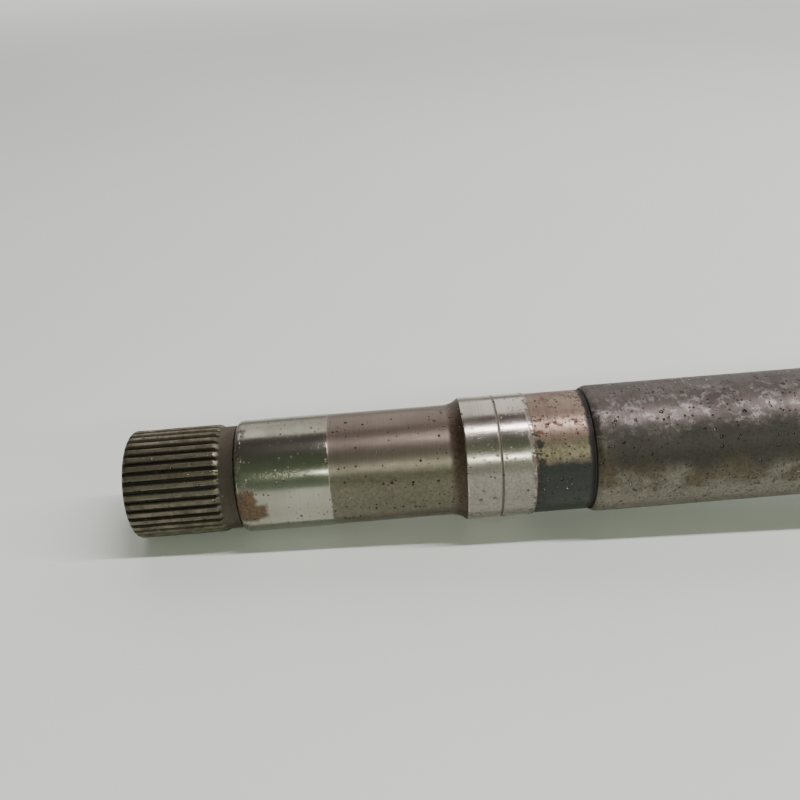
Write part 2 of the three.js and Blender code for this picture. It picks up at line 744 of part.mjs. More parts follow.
function outerJointBell() {
  const flareIn = BELL_MOUTH - 3.6;
  const body = turned([
    ...sphereArc(BELL_IN_R, 0, Math.acos(-flareIn / BELL_IN_R), 9),
    [MOUTH_FACE_S, BELL_FLARE_R],
    [MOUTH_FACE_S, BELL_SEAT_R],
    [OUTER_CUFF_S + OUTER_CUFF_WIDTH + SEAT_GAP, BELL_SEAT_R],
    [OUTER_CUFF_S + OUTER_CUFF_WIDTH + 1, BELL_R - 1],
    [OUTER_CUFF_S + OUTER_CUFF_WIDTH + 2, BELL_R],
    [OUTER_S + 20, BELL_R],
    [OUTER_S + 25, BELL_R - 2],
    [OUTER_S + 30, BELL_R - 7],
    [OUTER_S + 33, SHIELD_SEAT_R],
    [HUB_S - 3, SHIELD_SEAT_R],
    [HUB_S - 3, HUB_FACE_R + 1],
    [HUB_S, HUB_FACE_R],
    [HUB_S, HUB_SPLINE_R + 1.5],
    [HUB_S + 1.5, HUB_SPLINE_R - 1.4],
    [THREAD_S - 3, HUB_SPLINE_R - 1.4],
    [THREAD_S - 2, THREAD_R - 0.8],
    [THREAD_S, THREAD_R - 0.8],
    [THREAD_S + 0.8, THREAD_R],
    [AXLE_END - 1.2, THREAD_R],
    [AXLE_END, THREAD_R - 1.2],
    [AXLE_END, 3],
    [AXLE_END - 3, 0],
  ], SIDES);
  const teeth = section(
    new THREE.Shape(toothedPoints(HUB_TEETH, HUB_SPLINE_R - 1.1, HUB_SPLINE_R, 0.36)),
    HUB_S + 2,
    HUB_S + 2 + HUB_SPLINE_LENGTH,
  );
  const grooves = Array.from({ length: DRIVE_BALLS }, (_, i) => ballGroove(i, -1.3, 0.7));
  return geometryOf(without(solid(body), ...grooves).add(solid(teeth)));
}

function absRing() {
  const rootR = ABS_TIP_R - ABS_TOOTH;
  const shape = new THREE.Shape(toothedPoints(ABS_TEETH, rootR, ABS_TIP_R, 0.4));
  shape.holes.push(new THREE.Path(circlePoints(BELL_R + SEAT_GAP, SIDES)));
  return section(shape, ABS_S, ABS_S + ABS_WIDTH);
}

function bellDustShield() {
  const s0 = OUTER_S + 33.6;
  const bore = SHIELD_SEAT_R + SEAT_GAP;
  return turnedRing([
    [s0, bore + 9],
    [s0 + 1.2, bore + 9],
    [s0 + 1.2, bore + 1.2],
    [s0 + 5, bore + 1.2],
    [s0 + 5, bore],
    [s0, bore],
  ], SIDES);
}

function hubNut() {
  const s0 = THREAD_S + 4;
  const corner = NUT_ACROSS / Math.sqrt(3);
  const hex = section(new THREE.Shape(circlePoints(corner, 6)), s0 + 2, s0 + 14);
  const chamfer = turned([
    [s0 + 1, 0],
    [s0 + 1, corner + 1],
    [s0 + 12.6, corner + 1],
    [s0 + 15, corner - 3],
    [s0 + 15, 0],
  ], SIDES);
  const round = turned([
    [s0, 0],
    [s0, corner + 1.5],
    [s0 + 2, corner + 1.5],
    [s0 + 3.6, corner - 1],
    [s0 + 3.6, THREAD_R + 3],
    [s0 + 17, THREAD_R + 3],
    [s0 + 17, 0],
  ], SIDES);
  const bore = turned([
    [s0 - 1, 0],
    [s0 - 1, THREAD_R + SEAT_GAP],
    [s0 + 18, THREAD_R + SEAT_GAP],
    [s0 + 18, 0],
  ], SIDES);
  return geometryOf(without(solid(hex).intersect(solid(chamfer)).add(solid(round)), bore));
}

// ---- Gaiters
function lowered(points) {
  return points.map(([s, r]) => [s, r - BOOT_WALL]);
}

function innerBoot() {
  const bigR = TULIP_SEAT_R + SEAT_GAP;
  const smallR = BOOT_SEAT_R + SEAT_GAP;
  const smallS = INNER_BOOT_END - 12;
  const thinR = smallR + BOOT_WALL;
  const wall = foldPoints(MOUTH_S + 3, smallS - 2, thinR, bigR, INNER_FOLDS, smallR + CUFF);
  return gaiter(
    [
      [INNER_CUFF_S, bigR + CUFF],
      [MOUTH_S + 2.2, bigR + CUFF],
      ...wall,
      [smallS, smallR + CUFF],
      [INNER_BOOT_END, smallR + CUFF],
    ],
    [
      [INNER_CUFF_S, bigR],
      [MOUTH_S + 0.4, bigR],
      ...lowered(wall),
      [smallS, smallR],
      [INNER_BOOT_END, smallR],
    ],
    SIDES,
  );
}

function outerBoot() {
  const bigR = BELL_SEAT_R + SEAT_GAP;
  const smallR = BOOT_SEAT_R + SEAT_GAP;
  const smallEnd = OUTER_BOOT_START + 12;
  const thinR = smallR + BOOT_WALL;
  const wall = foldPoints(smallEnd + 2, MOUTH_FACE_S - 3, thinR, bigR, OUTER_FOLDS, bigR - LAST_VALLEY);
  return gaiter(
    [
      [OUTER_BOOT_START, smallR + CUFF],
      [smallEnd, smallR + CUFF],
      ...wall,
      [MOUTH_FACE_S - 2.2, bigR + CUFF],
      [OUTER_CUFF_S + OUTER_CUFF_WIDTH, bigR + CUFF],
    ],
    [
      [OUTER_BOOT_START, smallR],
      [smallEnd, smallR],
      ...lowered(wall),
      [MOUTH_FACE_S - 0.4, bigR],
      [OUTER_CUFF_S + OUTER_CUFF_WIDTH, bigR],
    ],
    SIDES,
  );
}

// ---- Materials
const coat = (color, roughness, metalness) => (
  new THREE.MeshStandardMaterial({ color, roughness, metalness })
);
const FORGING = coat(0x5a4a44, 0.55, 0.8);
const DARK_STEEL = coat(0x3d3a38, 0.6, 0.8);
const BRIGHT_STEEL = coat(0xb8b6b2, 0.3, 0.9);
const BALL_STEEL = coat(0xd0d0d2, 0.15, 1.0);
const ZINC = coat(0xa8a9a4, 0.4, 0.9);
const RUBBER = coat(0x1c1c1d, 0.8, 0.0);

// ---- Assembly
const part = new THREE.Group();
part.name = 'cv_axle';
const axle = new THREE.Group();
axle.name = 'axle';

function place(name, geometry, material) {
  const mesh = new THREE.Mesh(geometry, material);
  mesh.name = name;
  axle.add(mesh);
}

const INNER_CLAMP_R = TULIP_SEAT_R + 2 * SEAT_GAP + CUFF;
const OUTER_CLAMP_R = BELL_SEAT_R + 2 * SEAT_GAP + CUFF;
const SMALL_CLAMP_R = BOOT_SEAT_R + 2 * SEAT_GAP + CUFF;

place('link_shaft', linkShaft(), FORGING);
place('tulip_housing', tulipHousing(), FORGING);
place('bearing_inner_ring', bearingInnerRing(), BRIGHT_STEEL);
place('bearing_outer_ring', bearingOuterRing(), BRIGHT_STEEL);
place('bearing_ball_cage', bearingCage(), DARK_STEEL);
bearingBalls().forEach((geometry, i) => place(`bearing_ball_${i + 1}`, geometry, BALL_STEEL));
place('bearing_seal_inboard', bearingSeal(BEARING_S - BEARING_WIDTH / 2 + 0.3), RUBBER);
place('bearing_seal_outboard', bearingSeal(BEARING_S + BEARING_WIDTH / 2 - 1.1), RUBBER);
place('bearing_snap_ring', bearingSnapRing(), ZINC);
place('bearing_dust_ring', bearingDustRing(), ZINC);

place('axle_shaft', axleShaft(), FORGING);
place('tripod_spider', tripodSpider(), DARK_STEEL);
for (let i = 0; i < 3; i += 1) {
  place(`tripod_roller_${i + 1}`, tripodRoller(i), BALL_STEEL);
  place(`roller_needles_${i + 1}`, rollerNeedles(i), BRIGHT_STEEL);
  place(`roller_washer_${i + 1}`, rollerWasher(i), DARK_STEEL);
  place(`roller_clip_${i + 1}`, rollerClip(i), ZINC);
}
const ringInS = TRIPOD_S - SPIDER_HALF - REST_GAP - SNAP_THICK;
place('spider_snap_ring_inner', shaftRing(SPIDER_SPLINE_R, ringInS), ZINC);
place('spider_snap_ring_outer', shaftRing(SPIDER_SPLINE_R, TRIPOD_S + SPIDER_HALF + REST_GAP), ZINC);

place('inner_boot', innerBoot(), RUBBER);
place('inner_boot_clamp_large', bandClamp(INNER_CLAMP_R, INNER_CLAMP_S, SIDES), ZINC);
place('inner_boot_clamp_small', bandClamp(SMALL_CLAMP_R, INNER_BOOT_END - 10, SIDES), ZINC);

place('outer_joint_bell', outerJointBell(), FORGING);
place('ball_star', ballStar(), DARK_STEEL);
place('star_snap_ring', shaftRing(STAR_SPLINE_R, OUTER_S + STAR_HALF + REST_GAP), ZINC);
place('ball_cage', ballCage(), DARK_STEEL);
for (let i = 0; i < DRIVE_BALLS; i += 1) place(`drive_ball_${i + 1}`, driveBall(i), BALL_STEEL);

place('outer_boot', outerBoot(), RUBBER);
place('outer_boot_clamp_large', bandClamp(OUTER_CLAMP_R, OUTER_CUFF_S + 1, SIDES), ZINC);
place('outer_boot_clamp_small', bandClamp(SMALL_CLAMP_R, OUTER_BOOT_START + 2, SIDES), ZINC);
place('abs_ring', absRing(), DARK_STEEL);
place('bell_dust_shield', bellDustShield(), ZINC);
place('hub_nut', hubNut(), ZINC);

// ---- Laid on the floor, with the origin under the middle of its box
axle.rotation.y = -LIE;
part.add(axle);
part.updateMatrixWorld(true);
const box = new THREE.Box3().setFromObject(part, true);
const middle = box.getCenter(new THREE.Vector3());
axle.position.set(-middle.x, -middle.y, -box.min.z);

export default part;
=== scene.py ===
"""Looks for a front driveshaft: link shaft, support bearing, tripod joint, half shaft and ball joint."""
from __future__ import annotations

import json
import logging
import math
from collections.abc import Callable, Sequence
from dataclasses import dataclass, field
from enum import Enum

import bpy
from mathutils import Euler, Matrix, Vector

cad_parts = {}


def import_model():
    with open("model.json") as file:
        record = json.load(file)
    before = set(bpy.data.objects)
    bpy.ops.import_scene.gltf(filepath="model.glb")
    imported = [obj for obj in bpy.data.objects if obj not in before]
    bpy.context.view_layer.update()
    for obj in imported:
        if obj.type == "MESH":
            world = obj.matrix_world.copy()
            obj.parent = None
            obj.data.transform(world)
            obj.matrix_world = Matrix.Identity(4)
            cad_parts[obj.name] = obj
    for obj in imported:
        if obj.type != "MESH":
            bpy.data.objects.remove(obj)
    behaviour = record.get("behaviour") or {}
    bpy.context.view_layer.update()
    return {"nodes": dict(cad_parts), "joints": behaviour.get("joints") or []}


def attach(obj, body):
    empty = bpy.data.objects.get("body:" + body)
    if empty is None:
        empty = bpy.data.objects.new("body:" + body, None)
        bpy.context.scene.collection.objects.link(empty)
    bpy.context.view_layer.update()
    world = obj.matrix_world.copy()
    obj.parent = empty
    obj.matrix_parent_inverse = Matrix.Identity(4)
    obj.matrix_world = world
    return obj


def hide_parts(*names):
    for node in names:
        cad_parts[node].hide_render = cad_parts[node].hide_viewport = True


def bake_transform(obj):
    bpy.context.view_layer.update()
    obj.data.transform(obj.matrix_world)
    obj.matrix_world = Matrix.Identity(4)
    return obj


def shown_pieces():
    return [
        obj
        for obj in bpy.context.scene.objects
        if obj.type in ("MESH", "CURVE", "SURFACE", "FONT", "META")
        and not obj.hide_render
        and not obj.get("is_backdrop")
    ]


LOG = logging.getLogger("cv_axle")
MM = 0.001
POSITION_ATTRIBUTE = "axle_pos"
BEARING_CENTRE = 462.0
THIN_END = 15.6
BOOT_SEAT = 33.53
BOOT_SEAT_LIP = 0.9
INNER_CUFF_WALL = 2.9
SMALL_CLAMP_R = 15.9
LARGE_OUTER_CLAMP_R = 45.9
INNER_LARGE_CLAMP_S, INNER_SMALL_CLAMP_S = 562.5, 658.0
OUTER_LARGE_CLAMP_S, OUTER_SMALL_CLAMP_S = 910.0, 794.0
CAMERA_PLACE = (-0.45039, -0.19241, 0.14733)
CAMERA_TURN = (60.336, 1.289, -2.973)
DROP_HEIGHT = 0.00045

Colour = tuple[float, float, float]
Point = tuple[float, float]
Corner = tuple[float, float, float]


# ---------------------------------------------------------------- mesh tools
@dataclass
class MeshData:
    """Vertices in millimetres in the axle's frame, and their faces.

    Args:
        verts: points as (s, y, z).
        faces: corner indices of each face.
    """

    verts: list[tuple[float, float, float]] = field(default_factory=list)
    faces: list[tuple[int, ...]] = field(default_factory=list)

    def add(self, other: MeshData) -> MeshData:
        """Appends another mesh.

        Args:
            other: the mesh to append.

        Returns:
            This mesh.
        """
        start = len(self.verts)
        self.verts.extend(other.verts)
        self.faces.extend(tuple(i + start for i in f) for f in other.faces)
        return self


class AxleFrame:
    """The axle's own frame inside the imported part: X along the axle from the splined face."""

    def __init__(self, joints: Sequence[dict]) -> None:
        """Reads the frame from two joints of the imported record.

        Args:
            joints: the record's joints.
        """
        by_name = {j["name"]: j for j in joints}
        along = Vector(by_name["link_spin"]["axis"]).normalized()
        up = Vector(by_name["inner_tilt"]["axis"]).normalized()
        side = up.cross(along)
        origin = Vector(by_name["link_spin"]["pos_m"]) - along * BEARING_CENTRE * MM
        self.matrix = Matrix((along, side, up)).transposed().to_4x4()
        self.matrix.translation = origin

    def point(self, s: float, y: float = 0.0, z: float = 0.0) -> Vector:
        """Gives a point of the axle in the row frame.

        Args:
            s: distance from the splined face, mm.
            y: sideways, mm.
            z: upwards, mm.

        Returns:
            The point in metres.
        """
        return self.matrix @ (Vector((s, y, z)) * MM)

    def build(self, name: str, data: MeshData, sharp_deg: float = 38.0) -> bpy.types.Object:
        """Makes an object from mesh data, with each point's axle position kept as an attribute.

        Args:
            name: the piece's name.
            data: the mesh in the axle's frame, mm.
            sharp_deg: edges that bend more than this stay sharp.

        Returns:
            The new object.
        """
        mesh = bpy.data.meshes.new(name)
        local = [Vector(v) * MM for v in data.verts]
        mesh.from_pydata([self.matrix @ v for v in local], [], data.faces)
        mesh.validate()
        attribute = mesh.attributes.new(POSITION_ATTRIBUTE, "FLOAT_VECTOR", "POINT")
        flat = [c for v in local for c in v]
        attribute.data.foreach_set("vector", flat)
        mesh.shade_smooth()
        mesh.set_sharp_from_angle(angle=math.radians(sharp_deg))
        obj = bpy.data.objects.new(name, mesh)
        bpy.context.scene.collection.objects.link(obj)
        return obj


def rounded(corners: Sequence[Corner], steps: int = 5) -> list[Point]:
    """Rounds the corners of a profile.

    Args:
        corners: (s, r, fillet) points, mm.
        steps: points per rounded corner.

    Returns:
        The profile as (s, r) points.
    """
    out: list[Point] = []
    last = len(corners) - 1
    for i, (s, r, fillet) in enumerate(corners):
        if fillet <= 0 or i in (0, last):
            out.append((s, r))
            continue
        here = Vector((s, r))
        before = Vector(corners[i - 1][:2]) - here
        after = Vector(corners[i + 1][:2]) - here
        cut = min(fillet, 0.48 * before.length, 0.48 * after.length)
        a = here + before.normalized() * cut
        b = here + after.normalized() * cut
        for k in range(steps + 1):
            t = k / steps
            p = a * (1 - t) ** 2 + here * 2 * t * (1 - t) + b * t * t
            out.append((p.x, p.y))
    return out


def refined(profile: Sequence[Point], longest: float) -> list[Point]:
    """Splits long profile segments.

    Args:
        profile: (s, r) points, mm.
        longest: longest segment kept, mm.

    Returns:
        The profile with more points.
    """
    out = [profile[0]]
    for (s0, r0), (s1, r1) in zip(profile, profile[1:]):
        count = max(1, math.ceil(math.hypot(s1 - s0, r1 - r0) / longest))
        out += [(s0 + (s1 - s0) * k / count, r0 + (r1 - r0) * k / count) for k in range(1, count + 1)]
    return out


def revolve(
    profile: Sequence[Point],
    sides: int,
    radius_at: Callable[[float, float, float], float] | None = None,
    closed: bool = False,
) -> MeshData:
    """Turns a profile about the axle.

    Args:
        profile: (s, r) points with s rising on the outside, mm; a zero radius closes the end.
        sides: facets around.
        radius_at: optional (s, r, angle) to the radius there.
        closed: True joins the last point to the first, for rings.

    Returns:
        The mesh.
    """
    data = MeshData()
    rows: list[list[int]] = []
    for s, r in profile:
        if r <= 0:
            data.verts.append((s, 0.0, 0.0))
            rows.append([len(data.verts) - 1])
            continue
        row = []
        for k in range(sides):
            angle = 2 * math.pi * k / sides
            radius = radius_at(s, r, angle) if radius_at else r
            data.verts.append((s, radius * math.cos(angle), radius * math.sin(angle)))
            row.append(len(data.verts) - 1)
        rows.append(row)
    pairs = list(zip(rows, rows[1:]))
    if closed:
        pairs.append((rows[-1], rows[0]))
    for low, high in pairs:
        for k in range(sides):
            n = (k + 1) % sides
            if len(low) == 1 and len(high) == 1:
                continue
            if len(low) == 1:
                data.faces.append((low[0], high[k], high[n]))
            elif len(high) == 1:
                data.faces.append((low[k], high[0], low[n]))
            else:
                data.faces.append((low[k], high[k], high[n], low[n]))
    return data


def extrude(outline: Sequence[Point], s0: float, s1: float, bevel: float = 0.0) -> MeshData:
    """Carries a closed outline in the cross-section along the axle.

    Args:
        outline: (y, z) points counter-clockwise, mm.
        s0: start, mm.
        s1: end, mm.
        bevel: how far the end edges are broken, mm.

    Returns:
        The mesh.
    """
    n = len(outline)
    cy = sum(p[0] for p in outline) / n
    cz = sum(p[1] for p in outline) / n
    size = max(math.hypot(y - cy, z - cz) for y, z in outline)
    shrink = 1 - bevel / size
    rows = [
        (s0, shrink), (s0 + bevel, 1.0), (s1 - bevel, 1.0), (s1, shrink)
    ] if bevel else [(s0, 1.0), (s1, 1.0)]
    data = MeshData()
    for s, k in rows:
        data.verts += [(s, cy + (y - cy) * k, cz + (z - cz) * k) for y, z in outline]
    for row in range(len(rows) - 1):
        for i in range(n):
            j = (i + 1) % n
            a, b = row * n, (row + 1) * n
            data.faces.append((a + i, a + j, b + j, b + i))
    data.faces.append(tuple(reversed(range(n))))
    data.faces.append(tuple((len(rows) - 1) * n + i for i in range(n)))
    return data


def smooth(value: float, low: float, high: float) -> float:
    """Smoothstep from 0 at low to 1 at high.

    Args:
        value: where to look.
        low: start of the step.
        high: end of the step.

    Returns:
        The blended value.
    """
    t = min(1.0, max(0.0, (value - low) / (high - low)))
    return t * t * (3 - 2 * t)


def tooth_share(angle: float, teeth: int, tip: float, root: float) -> float:
    """How far up a tooth an angle is, with one tooth centred at the bottom.

    Args:
        angle: angle round the axle, radians.
        teeth: how many teeth.
        tip: half width of the tip as a share of the pitch.
        root: half width of the tooth at its root as a share of the pitch.

    Returns:
        1 on the tip and 0 in the groove.
    """
    turn = (angle + math.pi / 2) * teeth / (2 * math.pi)
    off = abs(turn - round(turn))
    return 1 - smooth(off, tip, root)


# ---------------------------------------------------------------- shader tools
class Graph:
    """Adds nodes to a tree and links them."""

    def __init__(self, tree: bpy.types.NodeTree) -> None:
        """Wraps a tree.

        Args:
            tree: the node tree to fill.
        """
        self.tree = tree

    def add(self, kind: str, inputs: dict | None = None, **settings: object) -> bpy.types.Node:
        """Adds a node.

        Args:
            kind: the node's type name.
            inputs: value or socket for each input, by name or index.
            **settings: node properties.

        Returns:
            The node.
        """
        node = self.tree.nodes.new(kind)
        for key, value in settings.items():
            setattr(node, key, value)
        for key, value in (inputs or {}).items():
            self.feed(node.inputs[key], value)
        return node

    def feed(self, socket: bpy.types.NodeSocket, value: object) -> None:
        """Links a socket or sets its value.

        Args:
            socket: the input.
            value: another socket, or a number, colour or vector.
        """
        if isinstance(value, bpy.types.NodeSocket):
            self.tree.links.new(value, socket)
        elif isinstance(value, tuple) and len(value) == 3 and len(socket.default_value) == 4:
            socket.default_value = (*value, 1.0)
        else:
            socket.default_value = value

    def mix(self, factor: object, a: object, b: object, blend: str = "MIX") -> bpy.types.NodeSocket:
        """Mixes two colours.

        Args:
            factor: 0 gives a and 1 gives b.
            a: first colour.
            b: second colour.
            blend: blend mode.

        Returns:
            The mixed colour.
        """
        node = self.add("ShaderNodeMix", data_type="RGBA", blend_type=blend)
        for index, value in ((0, factor), (6, a), (7, b)):
            self.feed(node.inputs[index], value)
        return node.outputs[2]

    def mix_value(self, factor: object, a: object, b: object) -> bpy.types.NodeSocket:
        """Mixes two numbers.

        Args:
            factor: 0 gives a and 1 gives b.
            a: first number.
            b: second number.

        Returns:
            The mixed number.
        """
        return self.add("ShaderNodeMix", {0: factor, 2: a, 3: b}, data_type="FLOAT").outputs[0]

    def math(self, operation: str, *values: object, clamp: bool = False) -> bpy.types.NodeSocket:
        """Adds a maths node.

        Args:
            operation: what it does.
            *values: its inputs.
            clamp: keep the result in 0 to 1.

        Returns:
            The result.
        """
        inputs = dict(enumerate(values))
        return self.add("ShaderNodeMath", inputs, operation=operation, use_clamp=clamp).outputs[0]

    def span(self, value: object, low: object, high: object, to: tuple = (0.0, 1.0)) -> bpy.types.NodeSocket:
        """Maps a range smoothly onto another.

        Args:
            value: the input.
            low: start of the range.
            high: end of the range.
            to: the range it maps onto.

        Returns:
            The mapped value.
        """
        inputs = {"Value": value, "From Min": low, "From Max": high, "To Min": to[0], "To Max": to[1]}
        return self.add("ShaderNodeMapRange", inputs, interpolation_type="SMOOTHSTEP").outputs[0]

    def stretched(self, vector: object, scale: tuple[object, object, object]) -> bpy.types.NodeSocket:
        """Scales a position by a factor on each axis.

        Args:
            vector: the position.
            scale: factors, each a number or a socket.

        Returns:
            The scaled position.
        """
        split = self.add("ShaderNodeSeparateXYZ", {0: vector})
        parts = {i: self.math("MULTIPLY", split.outputs[i], scale[i]) for i in range(3)}
        return self.add("ShaderNodeCombineXYZ", parts).outputs[0]


class Effects:
    """Node groups shared by the materials. Each gives a mask or a height."""

    def __init__(self) -> None:
        """Builds every group once."""
        self.turning = self._turning()
        self.patches = self._patches()
        self.specks = self._specks()
        self.scratches = self._scratches()
        self.radius = self._radius()
        self.band = self._band()
        self.sector = self._sector()
        self.droplets = self._droplets()

    @staticmethod
    def _group(name: str, floats: Sequence[tuple[str, float]]) -> tuple[Graph, bpy.types.Node]:
        """Starts a node group that takes a position and some numbers and puts out a mask.

        Args:
            name: the group's name.
            floats: each number's label and usual value.

        Returns:
            The group's graph and its input node.
        """
        tree = bpy.data.node_groups.new(name, "ShaderNodeTree")
        tree.interface.new_socket("Position", in_out="INPUT", socket_type="NodeSocketVector")
        for label, value in floats:
            socket = tree.interface.new_socket(label, in_out="INPUT", socket_type="NodeSocketFloat")
            socket.default_value = value
        tree.interface.new_socket("Mask", in_out="OUTPUT", socket_type="NodeSocketFloat")
        graph = Graph(tree)
        return graph, graph.add("NodeGroupInput")

    @staticmethod
    def _close(graph: Graph, mask: bpy.types.NodeSocket) -> bpy.types.NodeTree:
        """Ends a node group.

        Args:
            graph: the group's graph.
            mask: what the group puts out.

        Returns:
            The node group.
        """
        graph.add("NodeGroupOutput", {"Mask": mask})
        return graph.tree

    def _turning(self) -> bpy.types.NodeTree:
        """Fine lines left round a turned or ground surface.

        Returns:
            The node group.
        """
        graph, given = self._group("fx_turning", [("Lines", 4000.0), ("Wander", 14.0)])
        wander = given.outputs["Wander"]
        where = graph.stretched(given.outputs["Position"], (given.outputs["Lines"], wander, wander))
        fine = graph.add(
            "ShaderNodeTexNoise", {"Vector": where, "Scale": 1.0, "Detail": 4.0, "Roughness": 0.62}
        )
        return self._close(graph, graph.span(fine.outputs[0], 0.3, 0.7))

    def _patches(self) -> bpy.types.NodeTree:
        """Blotches with ragged edges; Cover is the share that they take.

        Returns:
            The node group.
        """
        floats = [("Scale", 60.0), ("Cover", 0.4), ("Soft", 0.06), ("Ragged", 0.7)]
        graph, given = self._group("fx_patches", floats)
        noise = graph.add(
            "ShaderNodeTexNoise",
            {
                "Vector": given.outputs["Position"],
                "Scale": given.outputs["Scale"],
                "Detail": 8.0,
                "Roughness": given.outputs["Ragged"],
                "Distortion": 0.25,
            },
        )
        edge = graph.span(given.outputs["Cover"], 0.0, 1.0, (0.72, 0.28))
        low = graph.math("SUBTRACT", edge, given.outputs["Soft"])
        high = graph.math("ADD", edge, given.outputs["Soft"])
        return self._close(graph, graph.span(noise.outputs[0], low, high))

    def _specks(self) -> bpy.types.NodeTree:
        """Small round spots of uneven size.

        Returns:
            The node group.
        """
        graph, given = self._group("fx_specks", [("Scale", 900.0), ("Cover", 0.3), ("Size", 0.32)])
        cells = graph.add(
            "ShaderNodeTexVoronoi", {"Vector": given.outputs["Position"], "Scale": given.outputs["Scale"]}
        )
        pick = graph.add("ShaderNodeSeparateColor", {0: cells.outputs["Color"]})
        chosen = graph.math("LESS_THAN", pick.outputs[0], given.outputs["Cover"])
        reach = graph.math("MULTIPLY", given.outputs["Size"], graph.math("ADD", pick.outputs[1], 0.4))
        inside = graph.span(cells.outputs["Distance"], reach, graph.math("MULTIPLY", reach, 0.45))
        return self._close(graph, graph.math("MULTIPLY", inside, chosen))

    def _scratches(self) -> bpy.types.NodeTree:
        """Thin wandering scratches, broken into short runs.

        Returns:
            The node group.
        """
        graph, given = self._group("fx_scratches", [("Scale", 90.0), ("Width", 0.012), ("Cover", 0.4)])
        where = graph.stretched(given.outputs["Position"], (1.0, 0.45, 0.45))
        ridge = graph.add(
            "ShaderNodeTexNoise", {"Vector": where, "Scale": given.outputs["Scale"], "Detail": 1.5}
        )
        off = graph.math("ABSOLUTE", graph.math("SUBTRACT", ridge.outputs[0], 0.5))
        line = graph.span(off, given.outputs["Width"], 0.0)
        breaks = graph.add(
            "ShaderNodeTexNoise", {"Vector": given.outputs["Position"], "Scale": 420.0, "Detail": 2.0}
        )
        edge = graph.span(given.outputs["Cover"], 0.0, 1.0, (0.7, 0.3))
        kept = graph.span(breaks.outputs[0], edge, graph.math("ADD", edge, 0.08))
        return self._close(graph, graph.math("MULTIPLY", line, kept))

    def _radius(self) -> bpy.types.NodeTree:
        """0 below the low radius and 1 above the high radius, both in metres from the axle.

        Returns:
            The node group.
        """
        graph, given = self._group("fx_radius", [("Low", 0.0137), ("High", 0.0146)])
        flat = graph.stretched(given.outputs["Position"], (0.0, 1.0, 1.0))
        length = graph.add("ShaderNodeVectorMath", {0: flat}, operation="LENGTH").outputs["Value"]
        return self._close(graph, graph.span(length, given.outputs["Low"], given.outputs["High"]))

    def _band(self) -> bpy.types.NodeTree:
        """A ring of the surface between two places along the axle, in metres, with ragged edges.

        Returns:
            The node group.
        """
        floats = [("Start", 0.08), ("End", 0.09), ("Soft", 0.0005), ("Ragged", 0.001)]
        graph, given = self._group("fx_band", floats)
        where = graph.add("ShaderNodeSeparateXYZ", {0: given.outputs["Position"]}).outputs[0]
        noise = graph.add(
            "ShaderNodeTexNoise", {"Vector": given.outputs["Position"], "Scale": 330.0, "Detail": 5.0}
        )
        drift = graph.math("MULTIPLY", graph.math("SUBTRACT", noise.outputs[0], 0.5), given.outputs["Ragged"])
        where = graph.math("ADD", where, drift)
        edges = []
        for side in ("Start", "End"):
            low = graph.math("SUBTRACT", given.outputs[side], given.outputs["Soft"])
            high = graph.math("ADD", given.outputs[side], given.outputs["Soft"])
            edges.append(graph.span(where, low, high))
        return self._close(graph, graph.math("SUBTRACT", edges[0], edges[1], clamp=True))

    def _sector(self) -> bpy.types.NodeTree:
        """A side of the surface round one direction, in radians, with ragged edges.

        Returns:
            The node group.
        """
        floats = [("Turn", 0.0), ("Half", 1.0), ("Soft", 0.1), ("Ragged", 0.3)]
        graph, given = self._group("fx_sector", floats)
        flat = graph.stretched(given.outputs["Position"], (0.0, 1.0, 1.0))
        unit = graph.add("ShaderNodeVectorMath", {0: flat}, operation="NORMALIZE").outputs[0]
        split = graph.add("ShaderNodeSeparateXYZ", {0: unit})
        across = graph.math("MULTIPLY", split.outputs[1], graph.math("COSINE", given.outputs["Turn"]))
        up = graph.math("MULTIPLY", split.outputs[2], graph.math("SINE", given.outputs["Turn"]))
        away = graph.math("ARCCOSINE", graph.math("ADD", across, up))
        noise = graph.add(
            "ShaderNodeTexNoise",
            {"Vector": given.outputs["Position"], "Scale": 95.0, "Detail": 7.0, "Roughness": 0.62},
        )
        drift = graph.math("MULTIPLY", graph.math("SUBTRACT", noise.outputs[0], 0.5), given.outputs["Ragged"])
        low = graph.math("SUBTRACT", given.outputs["Half"], given.outputs["Soft"])
        high = graph.math("ADD", given.outputs["Half"], given.outputs["Soft"])
        return self._close(graph, graph.span(graph.math("ADD", away, drift), high, low))

    def _droplets(self) -> bpy.types.NodeTree:
        """Domes of small drops left on the surface, as a height.

        Returns:
            The node group.
        """
        graph, given = self._group("fx_droplets", [("Scale", 520.0), ("Cover", 0.2), ("Size", 0.3)])
        cells = graph.add(
            "ShaderNodeTexVoronoi", {"Vector": given.outputs["Position"], "Scale": given.outputs["Scale"]}
        )
        pick = graph.add("ShaderNodeSeparateColor", {0: cells.outputs["Color"]})
        clumps = graph.add(
            "ShaderNodeTexNoise", {"Vector": given.outputs["Position"], "Scale": 75.0, "Detail": 2.0}
        )
        share = graph.math(
            "MULTIPLY", given.outputs["Cover"], graph.span(clumps.outputs[0], 0.3, 0.7, (0.3, 1.9))
        )
        chosen = graph.math("LESS_THAN", pick.outputs[0], share)
        uneven = graph.math("ADD", graph.math("POWER", pick.outputs[1], 2.0), 0.35)
        reach = graph.math("MULTIPLY", given.outputs["Size"], uneven)
        ratio = graph.math("DIVIDE", cells.outputs["Distance"], reach)
        left = graph.math("SUBTRACT", 1.0, graph.math("MULTIPLY", ratio, ratio), clamp=True)
        dome = graph.math("MULTIPLY", graph.math("SQRT", left), uneven)
        return self._close(graph, graph.math("MULTIPLY", dome, chosen))


class Coordinates(Enum):
    """Where a material reads its position."""

    AXLE = "axle"
    OBJECT = "object"


